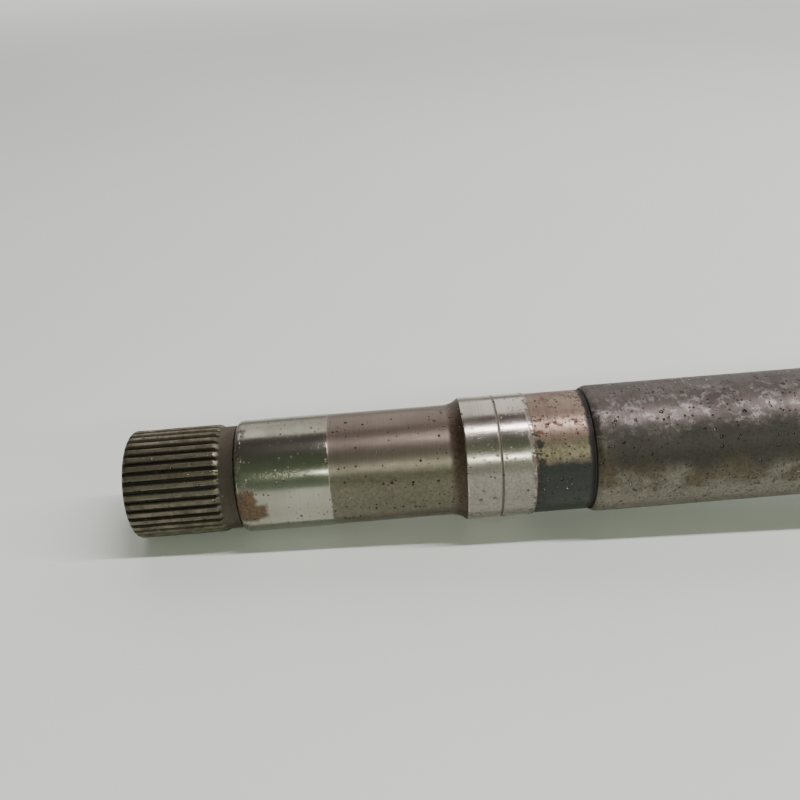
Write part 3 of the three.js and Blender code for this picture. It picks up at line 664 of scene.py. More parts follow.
class Materials:
    """Builds materials and keeps each finish's material for reuse."""

    def __init__(self) -> None:
        """Makes the shared effects."""
        self.effects = Effects()
        self._made: dict[tuple[str, Coordinates], bpy.types.Material] = {}

    def start(self, name: str, coordinates: Coordinates) -> tuple[
        bpy.types.Material, Graph, bpy.types.NodeSocket
    ]:
        """Starts a material.

        Args:
            name: its name.
            coordinates: where it reads its position.

        Returns:
            The material, its graph and the position socket.
        """
        material = bpy.data.materials.new(name)
        material.use_nodes = True
        material.node_tree.nodes.clear()
        graph = Graph(material.node_tree)
        if coordinates is Coordinates.AXLE:
            position = graph.add("ShaderNodeAttribute", attribute_name=POSITION_ATTRIBUTE).outputs["Vector"]
        else:
            position = graph.add("ShaderNodeTexCoord").outputs["Object"]
        return material, graph, position

    def mask(
        self, graph: Graph, effect: bpy.types.NodeTree, position: object, **values: object
    ) -> bpy.types.NodeSocket:
        """Adds a shared effect to a material.

        Args:
            graph: the material's graph.
            effect: the node group.
            position: the position socket.
            **values: the group's other inputs.

        Returns:
            The effect's mask.
        """
        node = graph.add("ShaderNodeGroup", node_tree=effect)
        graph.feed(node.inputs["Position"], position)
        for key, value in values.items():
            graph.feed(node.inputs[key], value)
        return node.outputs["Mask"]

    def get(self, finish: "Finish", coordinates: Coordinates = Coordinates.AXLE) -> bpy.types.Material:
        """Gives a finish's material, made once.

        Args:
            finish: the finish.
            coordinates: where it reads its position.

        Returns:
            The material.
        """
        key = (finish.name, coordinates)
        if key not in self._made:
            self._made[key] = finish.build(self, coordinates)
        return self._made[key]


class Finish:
    """Base of every finish: a name and a way to build its material."""

    name: str

    def build(self, maker: Materials, coordinates: Coordinates) -> bpy.types.Material:
        """Builds the material.

        Args:
            maker: the material maker.
            coordinates: where it reads its position.

        Returns:
            The material.
        """
        raise NotImplementedError


@dataclass(frozen=True)
class StainAndPaintedLight:
    """One layer of dirt, rust or wear, or of painted highlight, painted reflection or painted shade, on part
    of a surface.

    Args:
        colour: its colour.
        start: where it starts along the axle, mm.
        end: where it ends, mm.
        soft: how gradual those ends are, mm.
        ragged: how far they wander, mm.
        turn: middle of the side that it covers, degrees from +Y towards +Z, or None for all round.
        half: half of the covered angle, degrees.
        soft_turn: how gradual its sides are, degrees.
        ragged_turn: how far they wander, degrees.
        cover: share of the area inside that is really covered.
        scale: blotches per metre inside.
        strength: how opaque it is.
        metallic: metalness under it.
        rough: roughness of it.
        height: how far it stands proud, as a share of the grain depth.
    """

    colour: Colour
    start: float = -1e4
    end: float = 1e4
    soft: float = 0.5
    ragged: float = 1.5
    turn: float | None = None
    half: float = 60.0
    soft_turn: float = 8.0
    ragged_turn: float = 30.0
    cover: float = 1.0
    scale: float = 160.0
    strength: float = 1.0
    metallic: float = 0.3
    rough: float = 0.55
    height: float = 0.4

    def mask(self, maker: Materials, g: Graph, where: object) -> bpy.types.NodeSocket:
        """Where the layer lies.

        Args:
            maker: the material maker.
            g: the material's graph.
            where: the position.

        Returns:
            The mask.
        """
        fx = maker.effects
        parts: list[bpy.types.NodeSocket] = []
        if self.start > -1e3:
            ends = {"Start": self.start * MM, "End": self.end * MM}
            parts.append(maker.mask(g, fx.band, where, **ends, Soft=self.soft * MM, Ragged=self.ragged * MM))
        if self.turn is not None:
            turns = (self.turn, self.half, self.soft_turn, self.ragged_turn)
            values = dict(zip(("Turn", "Half", "Soft", "Ragged"), map(math.radians, turns)))
            parts.append(maker.mask(g, fx.sector, where, **values))
        if self.cover < 1.0:
            parts.append(maker.mask(g, fx.patches, where, Scale=self.scale, Cover=self.cover, Soft=0.06))
        result = parts[0]
        for part in parts[1:]:
            result = g.math("MULTIPLY", result, part)
        return g.math("MULTIPLY", result, self.strength) if self.strength < 1.0 else result


@dataclass(frozen=True)
class SteelFinish(Finish):
    """Bare, ground, oxidised or plated steel.

    Args:
        name: material name.
        base: main colour.
        shade: broad darker variation.
        patch: colour of light scratches.
        dark: colour of pits and turning lines.
        stains_and_painted_light: layers of dirt, rust and wear, and of painted highlight, painted reflection
            and painted shade, lowest first.
        speck_cover: share of cells with a pit.
        speck_scale: pits per metre.
        speck_size: pit size as a share of its cell.
        lines: turning lines per metre.
        line_tint: how strongly the lines darken.
        line_bump: how deep the lines look.
        rough: lowest and highest roughness.
        metallic: metalness of the clean metal.
        scratch: share of light scratches.
        grain: depth of the surface grain, mm.
        drops: share of cells with a small drop.
        drop_scale: drops per metre.
    """

    name: str
    base: Colour
    shade: Colour
    patch: Colour = (0.5, 0.48, 0.45)
    dark: Colour = (0.02, 0.018, 0.016)
    stains_and_painted_light: tuple[StainAndPaintedLight, ...] = ()
    speck_cover: float = 0.12
    speck_scale: float = 1100.0
    speck_size: float = 0.32
    lines: float = 5000.0
    line_tint: float = 0.25
    line_bump: float = 0.15
    rough: tuple[float, float] = (0.2, 0.32)
    metallic: float = 1.0
    scratch: float = 0.25
    grain: float = 0.02
    drops: float = 0.0
    drop_scale: float = 620.0

    def build(self, maker: Materials, coordinates: Coordinates) -> bpy.types.Material:
        """Builds the material.

        Args:
            maker: the material maker.
            coordinates: where it reads its position.

        Returns:
            The material.
        """
        material, g, where = maker.start(self.name, coordinates)
        fx = maker.effects
        broad = g.add("ShaderNodeTexNoise", {"Vector": where, "Scale": 38.0, "Detail": 5.0, "Roughness": 0.6})
        tone = g.span(broad.outputs[0], 0.36, 0.64)
        lines = maker.mask(g, fx.turning, where, Lines=self.lines)
        colour = g.mix(tone, self.base, self.shade)
        colour = g.mix(g.math("MULTIPLY", lines, self.line_tint), colour, self.dark)
        scratches = maker.mask(g, fx.scratches, where, Cover=self.scratch)
        colour = g.mix(g.math("MULTIPLY", scratches, 0.45), colour, self.patch)
        metallic: object = self.metallic
        rough = g.span(tone, 0.0, 1.0, self.rough)
        fine = g.add(
            "ShaderNodeTexNoise", {"Vector": where, "Scale": 1300.0, "Detail": 5.0, "Roughness": 0.7}
        )
        height = g.math(
            "ADD", g.math("MULTIPLY", lines, self.line_bump), g.math("MULTIPLY", fine.outputs[0], 0.35)
        )
        # each layer is dirt, rust or wear, or a painted highlight, painted reflection or painted shade on a
        # fixed side
        for stain_and_painted_light in self.stains_and_painted_light:
            mask = stain_and_painted_light.mask(maker, g, where)
            mottle = g.span(fine.outputs[0], 0.35, 0.68)
            darker = tuple(0.5 * c for c in stain_and_painted_light.colour)
            colour = g.mix(mask, colour, g.mix(mottle, darker, stain_and_painted_light.colour))
            metallic = g.mix_value(mask, metallic, stain_and_painted_light.metallic)
            rough = g.mix_value(mask, rough, stain_and_painted_light.rough)
            height = g.math("ADD", height, g.math("MULTIPLY", mask, stain_and_painted_light.height))
        specks = maker.mask(
            g, fx.specks, where, Scale=self.speck_scale, Cover=self.speck_cover, Size=self.speck_size
        )
        colour = g.mix(g.math("MULTIPLY", specks, 0.85), colour, self.dark)
        rough = g.math("ADD", rough, g.math("MULTIPLY", specks, 0.25), clamp=True)
        height = g.math("SUBTRACT", height, g.math("MULTIPLY", specks, 1.2))
        bump = g.add("ShaderNodeBump", {"Strength": 0.5, "Distance": self.grain * MM, "Height": height})
        normal = bump.outputs[0]
        if self.drops > 0:
            drops = maker.mask(g, fx.droplets, where, Scale=self.drop_scale, Cover=self.drops)
            wet = g.span(drops, 0.0, 0.25)
            rough = g.mix_value(wet, rough, 0.08)
            colour = g.mix(g.math("MULTIPLY", wet, 0.35), colour, self.dark)
            domes = g.add(
                "ShaderNodeBump", {
                    "Strength": 1.0, "Distance": DROP_HEIGHT, "Height": drops, "Normal": normal
                }
            )
            normal = domes.outputs[0]
        shader = g.add(
            "ShaderNodeBsdfPrincipled",
            {"Base Color": colour, "Metallic": metallic, "Roughness": rough, "Normal": normal},
        )
        g.add("ShaderNodeOutputMaterial", {"Surface": shader.outputs[0]})
        return material


@dataclass(frozen=True)
class ToothedFinish(Finish):
    """Steel with clean tips and darker grooves.

    Args:
        name: material name.
        tip: colour of the tooth tips.
        groove: colour in the grooves.
        low: radius of the groove floor, mm.
        high: radius of the tips, mm.
        rust_cover: share of rust on it.
    """

    name: str
    tip: Colour
    groove: Colour
    low: float
    high: float
    rust_cover: float = 0.2

    def build(self, maker: Materials, coordinates: Coordinates) -> bpy.types.Material:
        """Builds the material.

        Args:
            maker: the material maker.
            coordinates: where it reads its position.

        Returns:
            The material.
        """
        material, g, where = maker.start(self.name, coordinates)
        fx = maker.effects
        height = maker.mask(g, fx.radius, where, Low=self.low * MM, High=self.high * MM)
        broad = g.add(
            "ShaderNodeTexNoise", {"Vector": where, "Scale": 240.0, "Detail": 6.0, "Roughness": 0.7}
        )
        uneven = g.span(broad.outputs[0], 0.3, 0.7)
        dull = tuple(0.45 * c for c in self.tip)
        colour = g.mix(g.math("MULTIPLY", height, 1.0), self.groove, g.mix(uneven, self.tip, dull))
        rust = maker.mask(g, fx.patches, where, Scale=190.0, Cover=self.rust_cover, Soft=0.05)
        colour = g.mix(rust, colour, (0.17, 0.075, 0.03))
        drops = maker.mask(g, fx.droplets, where, Scale=850.0, Cover=0.3)
        wet = g.span(drops, 0.0, 0.25)
        rough = g.mix_value(wet, g.span(uneven, 0.0, 1.0, (0.34, 0.58)), 0.08)
        metallic = g.span(height, 0.0, 1.0, (0.3, 0.95))
        grain = g.add("ShaderNodeBump", {"Strength": 0.45, "Distance": 0.00006, "Height": broad.outputs[0]})
        domes = {"Strength": 1.0, "Distance": DROP_HEIGHT, "Height": drops, "Normal": grain.outputs[0]}
        bump = g.add("ShaderNodeBump", domes)
        shader = g.add(
            "ShaderNodeBsdfPrincipled",
            {"Base Color": colour, "Metallic": metallic, "Roughness": rough, "Normal": bump.outputs[0]},
        )
        g.add("ShaderNodeOutputMaterial", {"Surface": shader.outputs[0]})
        return material


@dataclass(frozen=True)
class RubberFinish(Finish):
    """Moulded rubber with dust and a greasy sheen.

    Args:
        name: material name.
        base: rubber colour.
        dust: dust colour.
        dust_cover: share of dust.
        rough: lowest and highest roughness.
    """

    name: str
    base: Colour = (0.012, 0.012, 0.013)
    dust: Colour = (0.11, 0.1, 0.085)
    dust_cover: float = 0.3
    rough: tuple[float, float] = (0.38, 0.62)

    def build(self, maker: Materials, coordinates: Coordinates) -> bpy.types.Material:
        """Builds the material.

        Args:
            maker: the material maker.
            coordinates: where it reads its position.

        Returns:
            The material.
        """
        material, g, where = maker.start(self.name, coordinates)
        fx = maker.effects
        broad = g.add("ShaderNodeTexNoise", {"Vector": where, "Scale": 55.0, "Detail": 6.0})
        tone = g.span(broad.outputs[0], 0.35, 0.65)
        dust = maker.mask(g, fx.patches, where, Scale=70.0, Cover=self.dust_cover, Soft=0.16)
        specks = maker.mask(g, fx.specks, where, Scale=700.0, Cover=0.16, Size=0.28)
        grime = g.math("ADD", g.math("MULTIPLY", dust, 0.35), g.math("MULTIPLY", specks, 0.3), clamp=True)
        colour = g.mix(grime, g.mix(tone, self.base, tuple(2.2 * c for c in self.base)), self.dust)
        rough = g.math("ADD", g.span(tone, 0.0, 1.0, self.rough), g.math("MULTIPLY", dust, 0.2), clamp=True)
        grain = g.add("ShaderNodeTexNoise", {"Vector": where, "Scale": 1800.0, "Detail": 2.0})
        height = g.math("ADD", grain.outputs[0], g.math("MULTIPLY", specks, 1.5))
        bump = g.add("ShaderNodeBump", {"Strength": 0.35, "Distance": 0.00005, "Height": height})
        shader = g.add(
            "ShaderNodeBsdfPrincipled",
            {"Base Color": colour, "Roughness": rough, "Normal": bump.outputs[0]},
        )
        g.add("ShaderNodeOutputMaterial", {"Surface": shader.outputs[0]})
        return material


RUST: Colour = (0.16, 0.075, 0.032)
LIGHT_RUST: Colour = (0.15, 0.088, 0.045)
BROWN: Colour = (0.085, 0.055, 0.035)
BLACK_GREEN: Colour = (0.018, 0.022, 0.016)
OCHRE: Colour = (0.082, 0.06, 0.022)
LIGHT_STEEL: Colour = (0.5, 0.47, 0.46)


class Look:
    """The finishes of the driveshaft."""

    SPLINE = ToothedFinish("spline_teeth", (0.21, 0.185, 0.135), (0.013, 0.01, 0.006), 13.75, 14.5, 0.2)
    NECK = SteelFinish(
        "neck", (0.105, 0.088, 0.064), (0.055, 0.045, 0.032), rough=(0.45, 0.62), metallic=0.6, line_tint=0.3,
        grain=0.05, drops=0.1, stains_and_painted_light=(StainAndPaintedLight(RUST, 0, 40, cover=0.25),),
    )
    JOURNAL = SteelFinish(
        "seal_journal", (0.4, 0.39, 0.325), (0.33, 0.325, 0.265), patch=(0.6, 0.6, 0.55), rough=(0.15, 0.21),
        lines=7000.0, line_tint=0.16, line_bump=0.25, speck_cover=0.07, grain=0.012, drops=0.34,
        drop_scale=900.0,
        stains_and_painted_light=(
            StainAndPaintedLight(
                LIGHT_RUST, 29, 34.6, turn=178, half=18, soft_turn=4, ragged_turn=24, ragged=3.5, metallic=0.2
            ),
            StainAndPaintedLight(
                LIGHT_RUST, 29, 37.0, turn=186, half=8, soft_turn=3, ragged_turn=16, ragged=4.0, metallic=0.2
            ),
            # painted reflection: brown tint along the top side, standing in for the room above mirrored in
            # the polish
            StainAndPaintedLight(BROWN, 29, 54, turn=84, half=14, soft_turn=9, strength=0.5, metallic=0.8, rough=0.3),
            StainAndPaintedLight(BROWN, 29, 32.2, cover=0.42, scale=260, ragged=2.5, strength=0.8),
            StainAndPaintedLight((0.05, 0.05, 0.04), 29, 54, cover=0.07, scale=420, strength=0.8),
        ),
    )
    GROUND = SteelFinish(
        "ground_brown", (0.29, 0.24, 0.205), (0.235, 0.19, 0.16), patch=(0.44, 0.4, 0.36), rough=(0.27, 0.34),
        lines=6500.0, line_tint=0.25, line_bump=0.45, speck_cover=0.2, speck_scale=900.0, grain=0.02,
        metallic=0.9, drops=0.3, drop_scale=900.0,
        stains_and_painted_light=(
            # painted reflection: olive-green band on the front side, standing in for the greenish room in
            # front mirrored in the metal
            StainAndPaintedLight(
                (0.15, 0.15, 0.095), 54, 92, turn=184, half=34, soft_turn=14, strength=0.75, metallic=0.8,
                rough=0.36
            ),
            # painted shade: darker brown ring over the concave fillet that rises to the collar
            StainAndPaintedLight(BROWN, 86.6, 92, soft=1.3, ragged=1.6, metallic=0.5, rough=0.45),
            # painted reflection: brown tint along the top side, standing in for the room above mirrored in
            # the metal
            StainAndPaintedLight(BROWN, 54, 92, turn=102, half=30, soft_turn=16, strength=0.42, metallic=0.8, rough=0.36),
            StainAndPaintedLight((0.05, 0.04, 0.03), 54, 92, cover=0.1, scale=380, strength=0.7),
        ),
    )
    COLLAR = SteelFinish(
        "collar", (0.5, 0.45, 0.4), (0.42, 0.375, 0.33), patch=(0.62, 0.58, 0.53), rough=(0.17, 0.24),
        lines=7000.0, line_tint=0.2, line_bump=0.3, speck_cover=0.22, speck_scale=950.0, grain=0.016,
        drops=0.3, drop_scale=850.0,
        stains_and_painted_light=(
            StainAndPaintedLight((0.27, 0.25, 0.215), 90, 107, turn=192, half=38, soft_turn=14, strength=0.75, rough=0.24),
            StainAndPaintedLight(BROWN, 98.6, 99.3, soft=0.25, ragged=0.7, strength=0.6),
            StainAndPaintedLight(RUST, 99, 109, turn=200, half=40, cover=0.16, scale=420, strength=0.8),
            StainAndPaintedLight(BROWN, 106.6, 109, cover=0.5, scale=420, ragged=1.6, strength=0.8),
        ),
    )
    STEP = SteelFinish(
        "rusty_step", (0.3, 0.22, 0.17), (0.19, 0.13, 0.1), patch=(0.36, 0.3, 0.2), rough=(0.34, 0.46),
        metallic=0.8, speck_cover=0.35, line_tint=0.3, scratch=0.5, grain=0.035, drops=0.32, drop_scale=850.0,
        stains_and_painted_light=(
            StainAndPaintedLight((0.16, 0.06, 0.04), 107, 125, turn=118, half=50, cover=0.38, scale=520),
            # painted highlight: narrow pale gold band on the side where the front lamp's glint falls
            StainAndPaintedLight(
                (0.19, 0.165, 0.105), 107, 125, turn=150, half=12, soft_turn=11, cover=0.66, scale=300,
                metallic=0.7, rough=0.4
            ),
            StainAndPaintedLight(
                BLACK_GREEN, 107.6, 125, turn=215, half=57, soft_turn=3, ragged_turn=14, metallic=0.1,
                rough=0.42
            ),
            StainAndPaintedLight((0.02, 0.015, 0.01), 107.6, 110.2, turn=165, half=40, cover=0.5, scale=420, ragged=2.5),
            StainAndPaintedLight((0.015, 0.01, 0.008), 122.0, 125, soft=0.4, ragged=1.4),
        ),
    )
    UNDERCUT = SteelFinish(
        "undercut", (0.03, 0.025, 0.022), (0.015, 0.012, 0.01), rough=(0.5, 0.7), metallic=0.5
    )
    BAR = SteelFinish(
        "bar_oxide", (
            0.105, 0.084, 0.076
        ), (0.062, 0.048, 0.043), patch=(0.3, 0.28, 0.265), rough=(0.42, 0.56),
        metallic=0.65, speck_cover=0.4, speck_scale=1000.0, lines=1800.0, line_tint=0.25, scratch=0.4,
        grain=0.06, drops=0.3, drop_scale=700.0,
        stains_and_painted_light=(
            StainAndPaintedLight(LIGHT_STEEL, 0, 480, cover=0.3, scale=420, metallic=0.7, rough=0.45, strength=0.34),
            # painted highlight: lighter steel on the upper front side where the overhead lamp's glare falls
            StainAndPaintedLight(LIGHT_STEEL, 0, 480, turn=124, half=27, soft_turn=14, cover=0.42, scale=330, metallic=0.7,
                  rough=0.42, strength=0.4),
            # painted reflection: grey-beige on the lower side, standing in for the pale floor mirrored in the
            # metal
            StainAndPaintedLight((0.24, 0.22, 0.17), 0, 480, turn=215, half=50, soft_turn=10, cover=0.9, scale=120,
                  metallic=0.5, rough=0.45, strength=0.85),
            StainAndPaintedLight(OCHRE, 0, 480, turn=166, half=24, soft_turn=10, ragged_turn=40, cover=0.6, scale=55,
                  metallic=0.3, rough=0.5, strength=0.8),
            # painted reflection: near-black band on the side facing the camera, standing in for the dark room
            # mirrored there
            StainAndPaintedLight((0.02, 0.016, 0.011), 126, 480, soft=4, turn=152, half=17, soft_turn=10, ragged_turn=46,
                  cover=0.84, scale=60, metallic=0.2, rough=0.5, strength=0.88),
            StainAndPaintedLight(
                (0.05, 0.042, 0.032), 0, 480, cover=0.34, scale=520, metallic=0.3, rough=0.6, strength=0.55
            ),
            StainAndPaintedLight(BLACK_GREEN, 0, 480, cover=0.12, scale=70, metallic=0.1, rough=0.3, strength=0.85),
        ),
    )
    HOUSING = SteelFinish(
        "joint_forging", (0.1, 0.094, 0.09), (
            0.06, 0.056, 0.054
        ), rough=(0.42, 0.6), metallic=0.6, lines=1400.0,
        scratch=0.35, grain=0.06,
        stains_and_painted_light=(
            StainAndPaintedLight(LIGHT_STEEL, 0, 1100, cover=0.12, scale=90, metallic=0.9, rough=0.4, strength=0.6),
            StainAndPaintedLight(RUST, 0, 1100, cover=0.17, scale=80),
        ),
    )
    SHAFT = SteelFinish(
        "half_shaft", (0.1, 0.09, 0.085), (
            0.055, 0.048, 0.046
        ), rough=(0.38, 0.58), metallic=0.65, lines=900.0,
        scratch=0.35, grain=0.06,
        stains_and_painted_light=(
            StainAndPaintedLight(LIGHT_STEEL, 0, 1100, cover=0.14, scale=90, metallic=0.9, rough=0.4, strength=0.6),
            StainAndPaintedLight(RUST, 0, 1100, cover=0.2, scale=75),
        ),
    )
    RACE = SteelFinish(
        "bearing_race", (
            0.55, 0.54, 0.52
        ), (0.42, 0.41, 0.4), rough=(0.18, 0.28), lines=5000.0, line_bump=0.25,
        stains_and_painted_light=(StainAndPaintedLight(RUST, 0, 1100, cover=0.12, scale=200),),
    )
    STRIP = SteelFinish(
        "zinc_strip", (0.5, 0.5, 0.47), (0.37, 0.37, 0.34), rough=(0.28, 0.42), lines=600.0, grain=0.025,
        stains_and_painted_light=(
            StainAndPaintedLight((0.3, 0.3, 0.28), 0, 1100, cover=0.25, scale=120, rough=0.6),
            StainAndPaintedLight(RUST, 0, 1100, cover=0.1)
        ),
    )
    PRESSING = SteelFinish(
        "zinc_pressing", (0.42, 0.4, 0.34), (0.3, 0.28, 0.24), rough=(0.34, 0.5), lines=1500.0, grain=0.03,
        stains_and_painted_light=(StainAndPaintedLight(RUST, 0, 1100, cover=0.18),),
    )
    SPRING = SteelFinish(
        "spring_steel", (0.09, 0.085, 0.09), (0.05, 0.048, 0.052), rough=(0.3, 0.42), grain=0.02
    )
    SINTERED = SteelFinish(
        "sintered_ring", (
            0.18, 0.155, 0.13
        ), (0.11, 0.09, 0.075), rough=(0.45, 0.65), metallic=0.7, grain=0.06,
        stains_and_painted_light=(StainAndPaintedLight(RUST, 0, 1100, cover=0.34, scale=120),),
    )
    NUT = SteelFinish(
        "hub_nut", (0.5, 0.48, 0.42), (0.36, 0.34, 0.3), rough=(0.28, 0.42), lines=1200.0, grain=0.03,
        stains_and_painted_light=(StainAndPaintedLight(RUST, 0, 1100, cover=0.14),),
    )
    THREAD = SteelFinish(
        "stub_thread", (0.26, 0.245, 0.23), (0.16, 0.15, 0.14), rough=(0.32, 0.46), grain=0.03,
        stains_and_painted_light=(StainAndPaintedLight(RUST, 0, 1100, cover=0.16),),
    )
    STUB_SPLINE = ToothedFinish("stub_spline", (0.34, 0.32, 0.28), (0.035, 0.03, 0.026), 14.0, 14.9, 0.14)
    BALL = SteelFinish("ball_steel", (0.7, 0.7, 0.71), (0.62, 0.62, 0.63), rough=(0.08, 0.14), line_tint=0.05)
    INNER = SteelFinish("hardened_steel", (0.3, 0.29, 0.29), (0.22, 0.21, 0.21), rough=(0.24, 0.34))
    RUBBER = RubberFinish("boot_rubber")
    SEAL = RubberFinish("seal_rubber", (0.02, 0.015, 0.012), dust_cover=0.2)


# ---------------------------------------------------------------- pieces
@dataclass
class Kit:
    """What every sub-assembly needs to build.

    Args:
        frame: the axle's frame.
        materials: the material maker.
    """

    frame: AxleFrame
    materials: Materials

    def ride(
        self, name: str, data: MeshData, finish: Finish, body: str, node: str
    ) -> bpy.types.Object:
        """Builds a rigid piece that stands for a CAD node.

        Args:
            name: the piece's name.
            data: its mesh.
            finish: its finish.
            body: the CAD body it rides on.
            node: the CAD node it stands for.

        Returns:
            The object.
        """
        obj = self.frame.build(name, data)
        obj.data.materials.append(self.materials.get(finish))
        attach(obj, body)
        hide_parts(node)
        return obj


@dataclass
class LinkShaft:
    """The splined stub, its journals and the long bar, mm from the splined face.

    Args:
        teeth: how many spline teeth.
        tip: radius over the teeth.
        root: radius of the groove floor.
        neck: radius of the neck.
        sides: facets round the plain sections.
    """

    teeth: int = 36
    tip: float = 14.684
    root: float = 13.69
    neck: float = 14.0
    sides: int = 144

    ZONES = (
        (25.35, Look.SPLINE), (29.55, Look.NECK), (54.05, Look.JOURNAL), (89.72, Look.GROUND),
        (107.85, Look.COLLAR), (123.0, Look.STEP), (123.75, Look.UNDERCUT), (999.0, Look.BAR),
    )

    def build(self, kit: Kit) -> bpy.types.Object:
        """Builds the shaft.

        Args:
            kit: frame and materials.

        Returns:
            The object.
        """
        data = self.splined_end().add(self.bar())
        obj = kit.frame.build("link_shaft_body", data, 42.0)
        for _, finish in self.ZONES:
            obj.data.materials.append(kit.materials.get(finish))
        for polygon in obj.data.polygons:
            s = sum(data.verts[i][0] for i in polygon.vertices) / len(polygon.vertices)
            polygon.material_index = next(i for i, (end, _) in enumerate(self.ZONES) if s <= end)
        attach(obj, "link")
        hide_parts("link_shaft")
        return obj

    def splined_end(self) -> MeshData:
        """The toothed stub and the neck behind it.

        Returns:
            The mesh.
        """
        rows: list[tuple[float, float, float]] = [(3.0, 0.0, 0.0), (0.12, 3.9, 3.9), (0.0, 4.2, 4.2)]
        rows += [(0.0, r, r) for r in (7.0, 10.0, 12.4, 13.1)]
        for k in range(8):
            t = k / 7
            tip = 13.25 + (self.tip - 13.25) * math.sin(t * math.pi / 2)
            rows.append((0.04 + 1.5 * t ** 1.3, min(self.root, tip - 0.05), tip))
        rows += [(s * 0.7, self.root, self.tip) for s in range(3, 31)]
        for k in range(14):
            t = k / 13
            s = 21.4 + 4.2 * t
            floor = self.root + (self.neck - self.root) * min(1.0, 1.12 * t) ** 2.2
            tip = self.tip + (self.neck - self.tip) * smooth(s, 24.0, 25.6)
            rows.append((s, floor, max(floor, tip)))
        rows += [
            (26.2, self.neck, self.neck), (28.4, self.neck, self.neck),
            (29.1, self.neck + 0.1, self.neck + 0.1)
        ]
        rows += [(29.6, 13.2, 13.2), (29.6, 0.0, 0.0)]
        lookup = {(s, tip): floor for s, floor, tip in rows}

        def radius(s: float, r: float, angle: float) -> float:
            """Radius of the splined end at a station, cut down between the teeth.

            Args:
                s: place along the axle, mm.
                r: the profile's radius there, mm.
                angle: turn round the axle, radians.

            Returns:
                The radius, mm.
            """
            floor = lookup[(s, r)]
            if r - floor < 1e-6:
                return r
            worn = 0.02 * math.sin(7 * angle + 0.6 * s) + 0.015 * math.sin(19 * angle - 0.35 * s)
            return floor + (r - floor + worn) * tooth_share(angle, self.teeth, 0.22, 0.39)

        return revolve([(s, tip) for s, _, tip in rows], self.teeth * 16, radius)

    def bar(self) -> MeshData:
        """The journals, the collar and the bar up to the tulip.

        Returns:
            The mesh.
        """
        corners: list[Corner] = [
            (29.2, 0, 0), (29.2, 13.6, 0), (29.45, 14.3, 0.1), (29.9, 15.0, 0.3), (30.7, 15.3, 0.4),
            (
                53.95, 15.3, 0.06
            ), (54.1, 15.15, 0.06), (86.3, 15.15, 0.6), (88.2, 15.6, 0.9), (89.3, 16.3, 0.6),
            (89.75, 16.75, 0.2), (90.1, 16.8, 0.2), (98.65, 16.8, 0.1), (98.78, 16.55, 0.08),
            (99.02, 16.55, 0.08), (99.15, 16.8, 0.1), (107.6, 16.8, 0.25), (107.9, 16.48, 0.12),
            (111.9, 16.48, 0.05), (112.0, 16.44, 0.03), (112.1, 16.48, 0.05), (122.8, 16.46, 0.3),
            (123.1, 16.1, 0.15), (123.55, 16.1, 0.15), (123.7, 16.7, 0.3), (125.0, 17.45, 0.9),
            (450.0, 17.45, 0.2), (450.5, 17.3, 0.1), (453.1, 17.3, 0.05), (453.1, 16.5, 0.05),
            (454.8, 16.5, 0.05), (454.8, 17.3, 0.05), (469.2, 17.3, 0.1), (469.3, 20.2, 0.3),
            (469.7, 20.5, 0.3), (479.4, 20.5, 0.3), (479.7, 20.2, 0.2), (479.7, 0, 0),
        ]
        return revolve(refined(rounded(corners), 6.0), self.sides)


@dataclass
class BandClamp:
    """A crimped band clamp.

    Args:
        name: the CAD node.
        body: the CAD body.
        inner: inside radius, mm.
        start: where it starts, mm.
        width: band width, mm.
        thick: band thickness, mm.
    """

    name: str
    body: str
    inner: float
    start: float
    width: float = 8.0
    thick: float = 1.0

    def build(self, kit: Kit) -> bpy.types.Object:
        """Builds the clamp.

        Args:
            kit: frame and materials.

        Returns:
            The object.
        """
        outer = self.inner + self.thick
        end = self.start + self.width
        corners: list[Corner] = [
            (self.start, self.inner + 0.3, 0), (self.start, outer, 0.25), (self.start + 1.0, outer, 0.3),
            (self.start + 1.3, outer - 0.25, 0.2), (end - 1.3, outer - 0.25, 0.2), (end - 1.0, outer, 0.3),
            (end, outer, 0.25), (end, self.inner, 0.2), (self.start, self.inner, 0.2),
            (self.start, self.inner + 0.3, 0),
        ]
        data = revolve(rounded(corners, 3)[:-1], 96, closed=True)
        data.add(extrude(self.ear(outer), self.start + 0.8, end - 0.8, 0.25))
        data.add(extrude(self.lap(outer), self.start + 0.5, end - 0.5, 0.15))
        return kit.ride(f"{self.name}_band", data, Look.STRIP, self.body, self.name)

    @staticmethod
    def ear(outer: float) -> list[Point]:
        """The crimped loop on top.

        Args:
            outer: band radius, mm.

        Returns:
            Its outline in the cross-section.
        """
        points: list[Point] = [
            (-4.4, outer - 0.7), (4.4, outer - 0.7), (3.0, outer + 0.25), (1.9, outer + 1.2)
        ]
        for k in range(9):
            turn = -0.4 + (math.pi + 0.8) * k / 8
            points.append((2.7 * math.cos(turn), outer + 2.35 + 1.25 * math.sin(turn)))
        return points + [(-1.9, outer + 1.2), (-3.0, outer + 0.25)]

    @staticmethod
    def lap(outer: float) -> list[Point]:
        """The overlapped tail of the band.

        Args:
            outer: band radius, mm.

        Returns:
            Its outline in the cross-section.
        """
        turns = [math.pi / 2 + 0.12 + 0.05 * k for k in range(9)]
        low = [(math.cos(t) * (outer - 0.4), math.sin(t) * (outer - 0.4)) for t in turns]
        high = [(math.cos(t) * (outer + 0.35), math.sin(t) * (outer + 0.35)) for t in turns]
        return low[::-1] + high


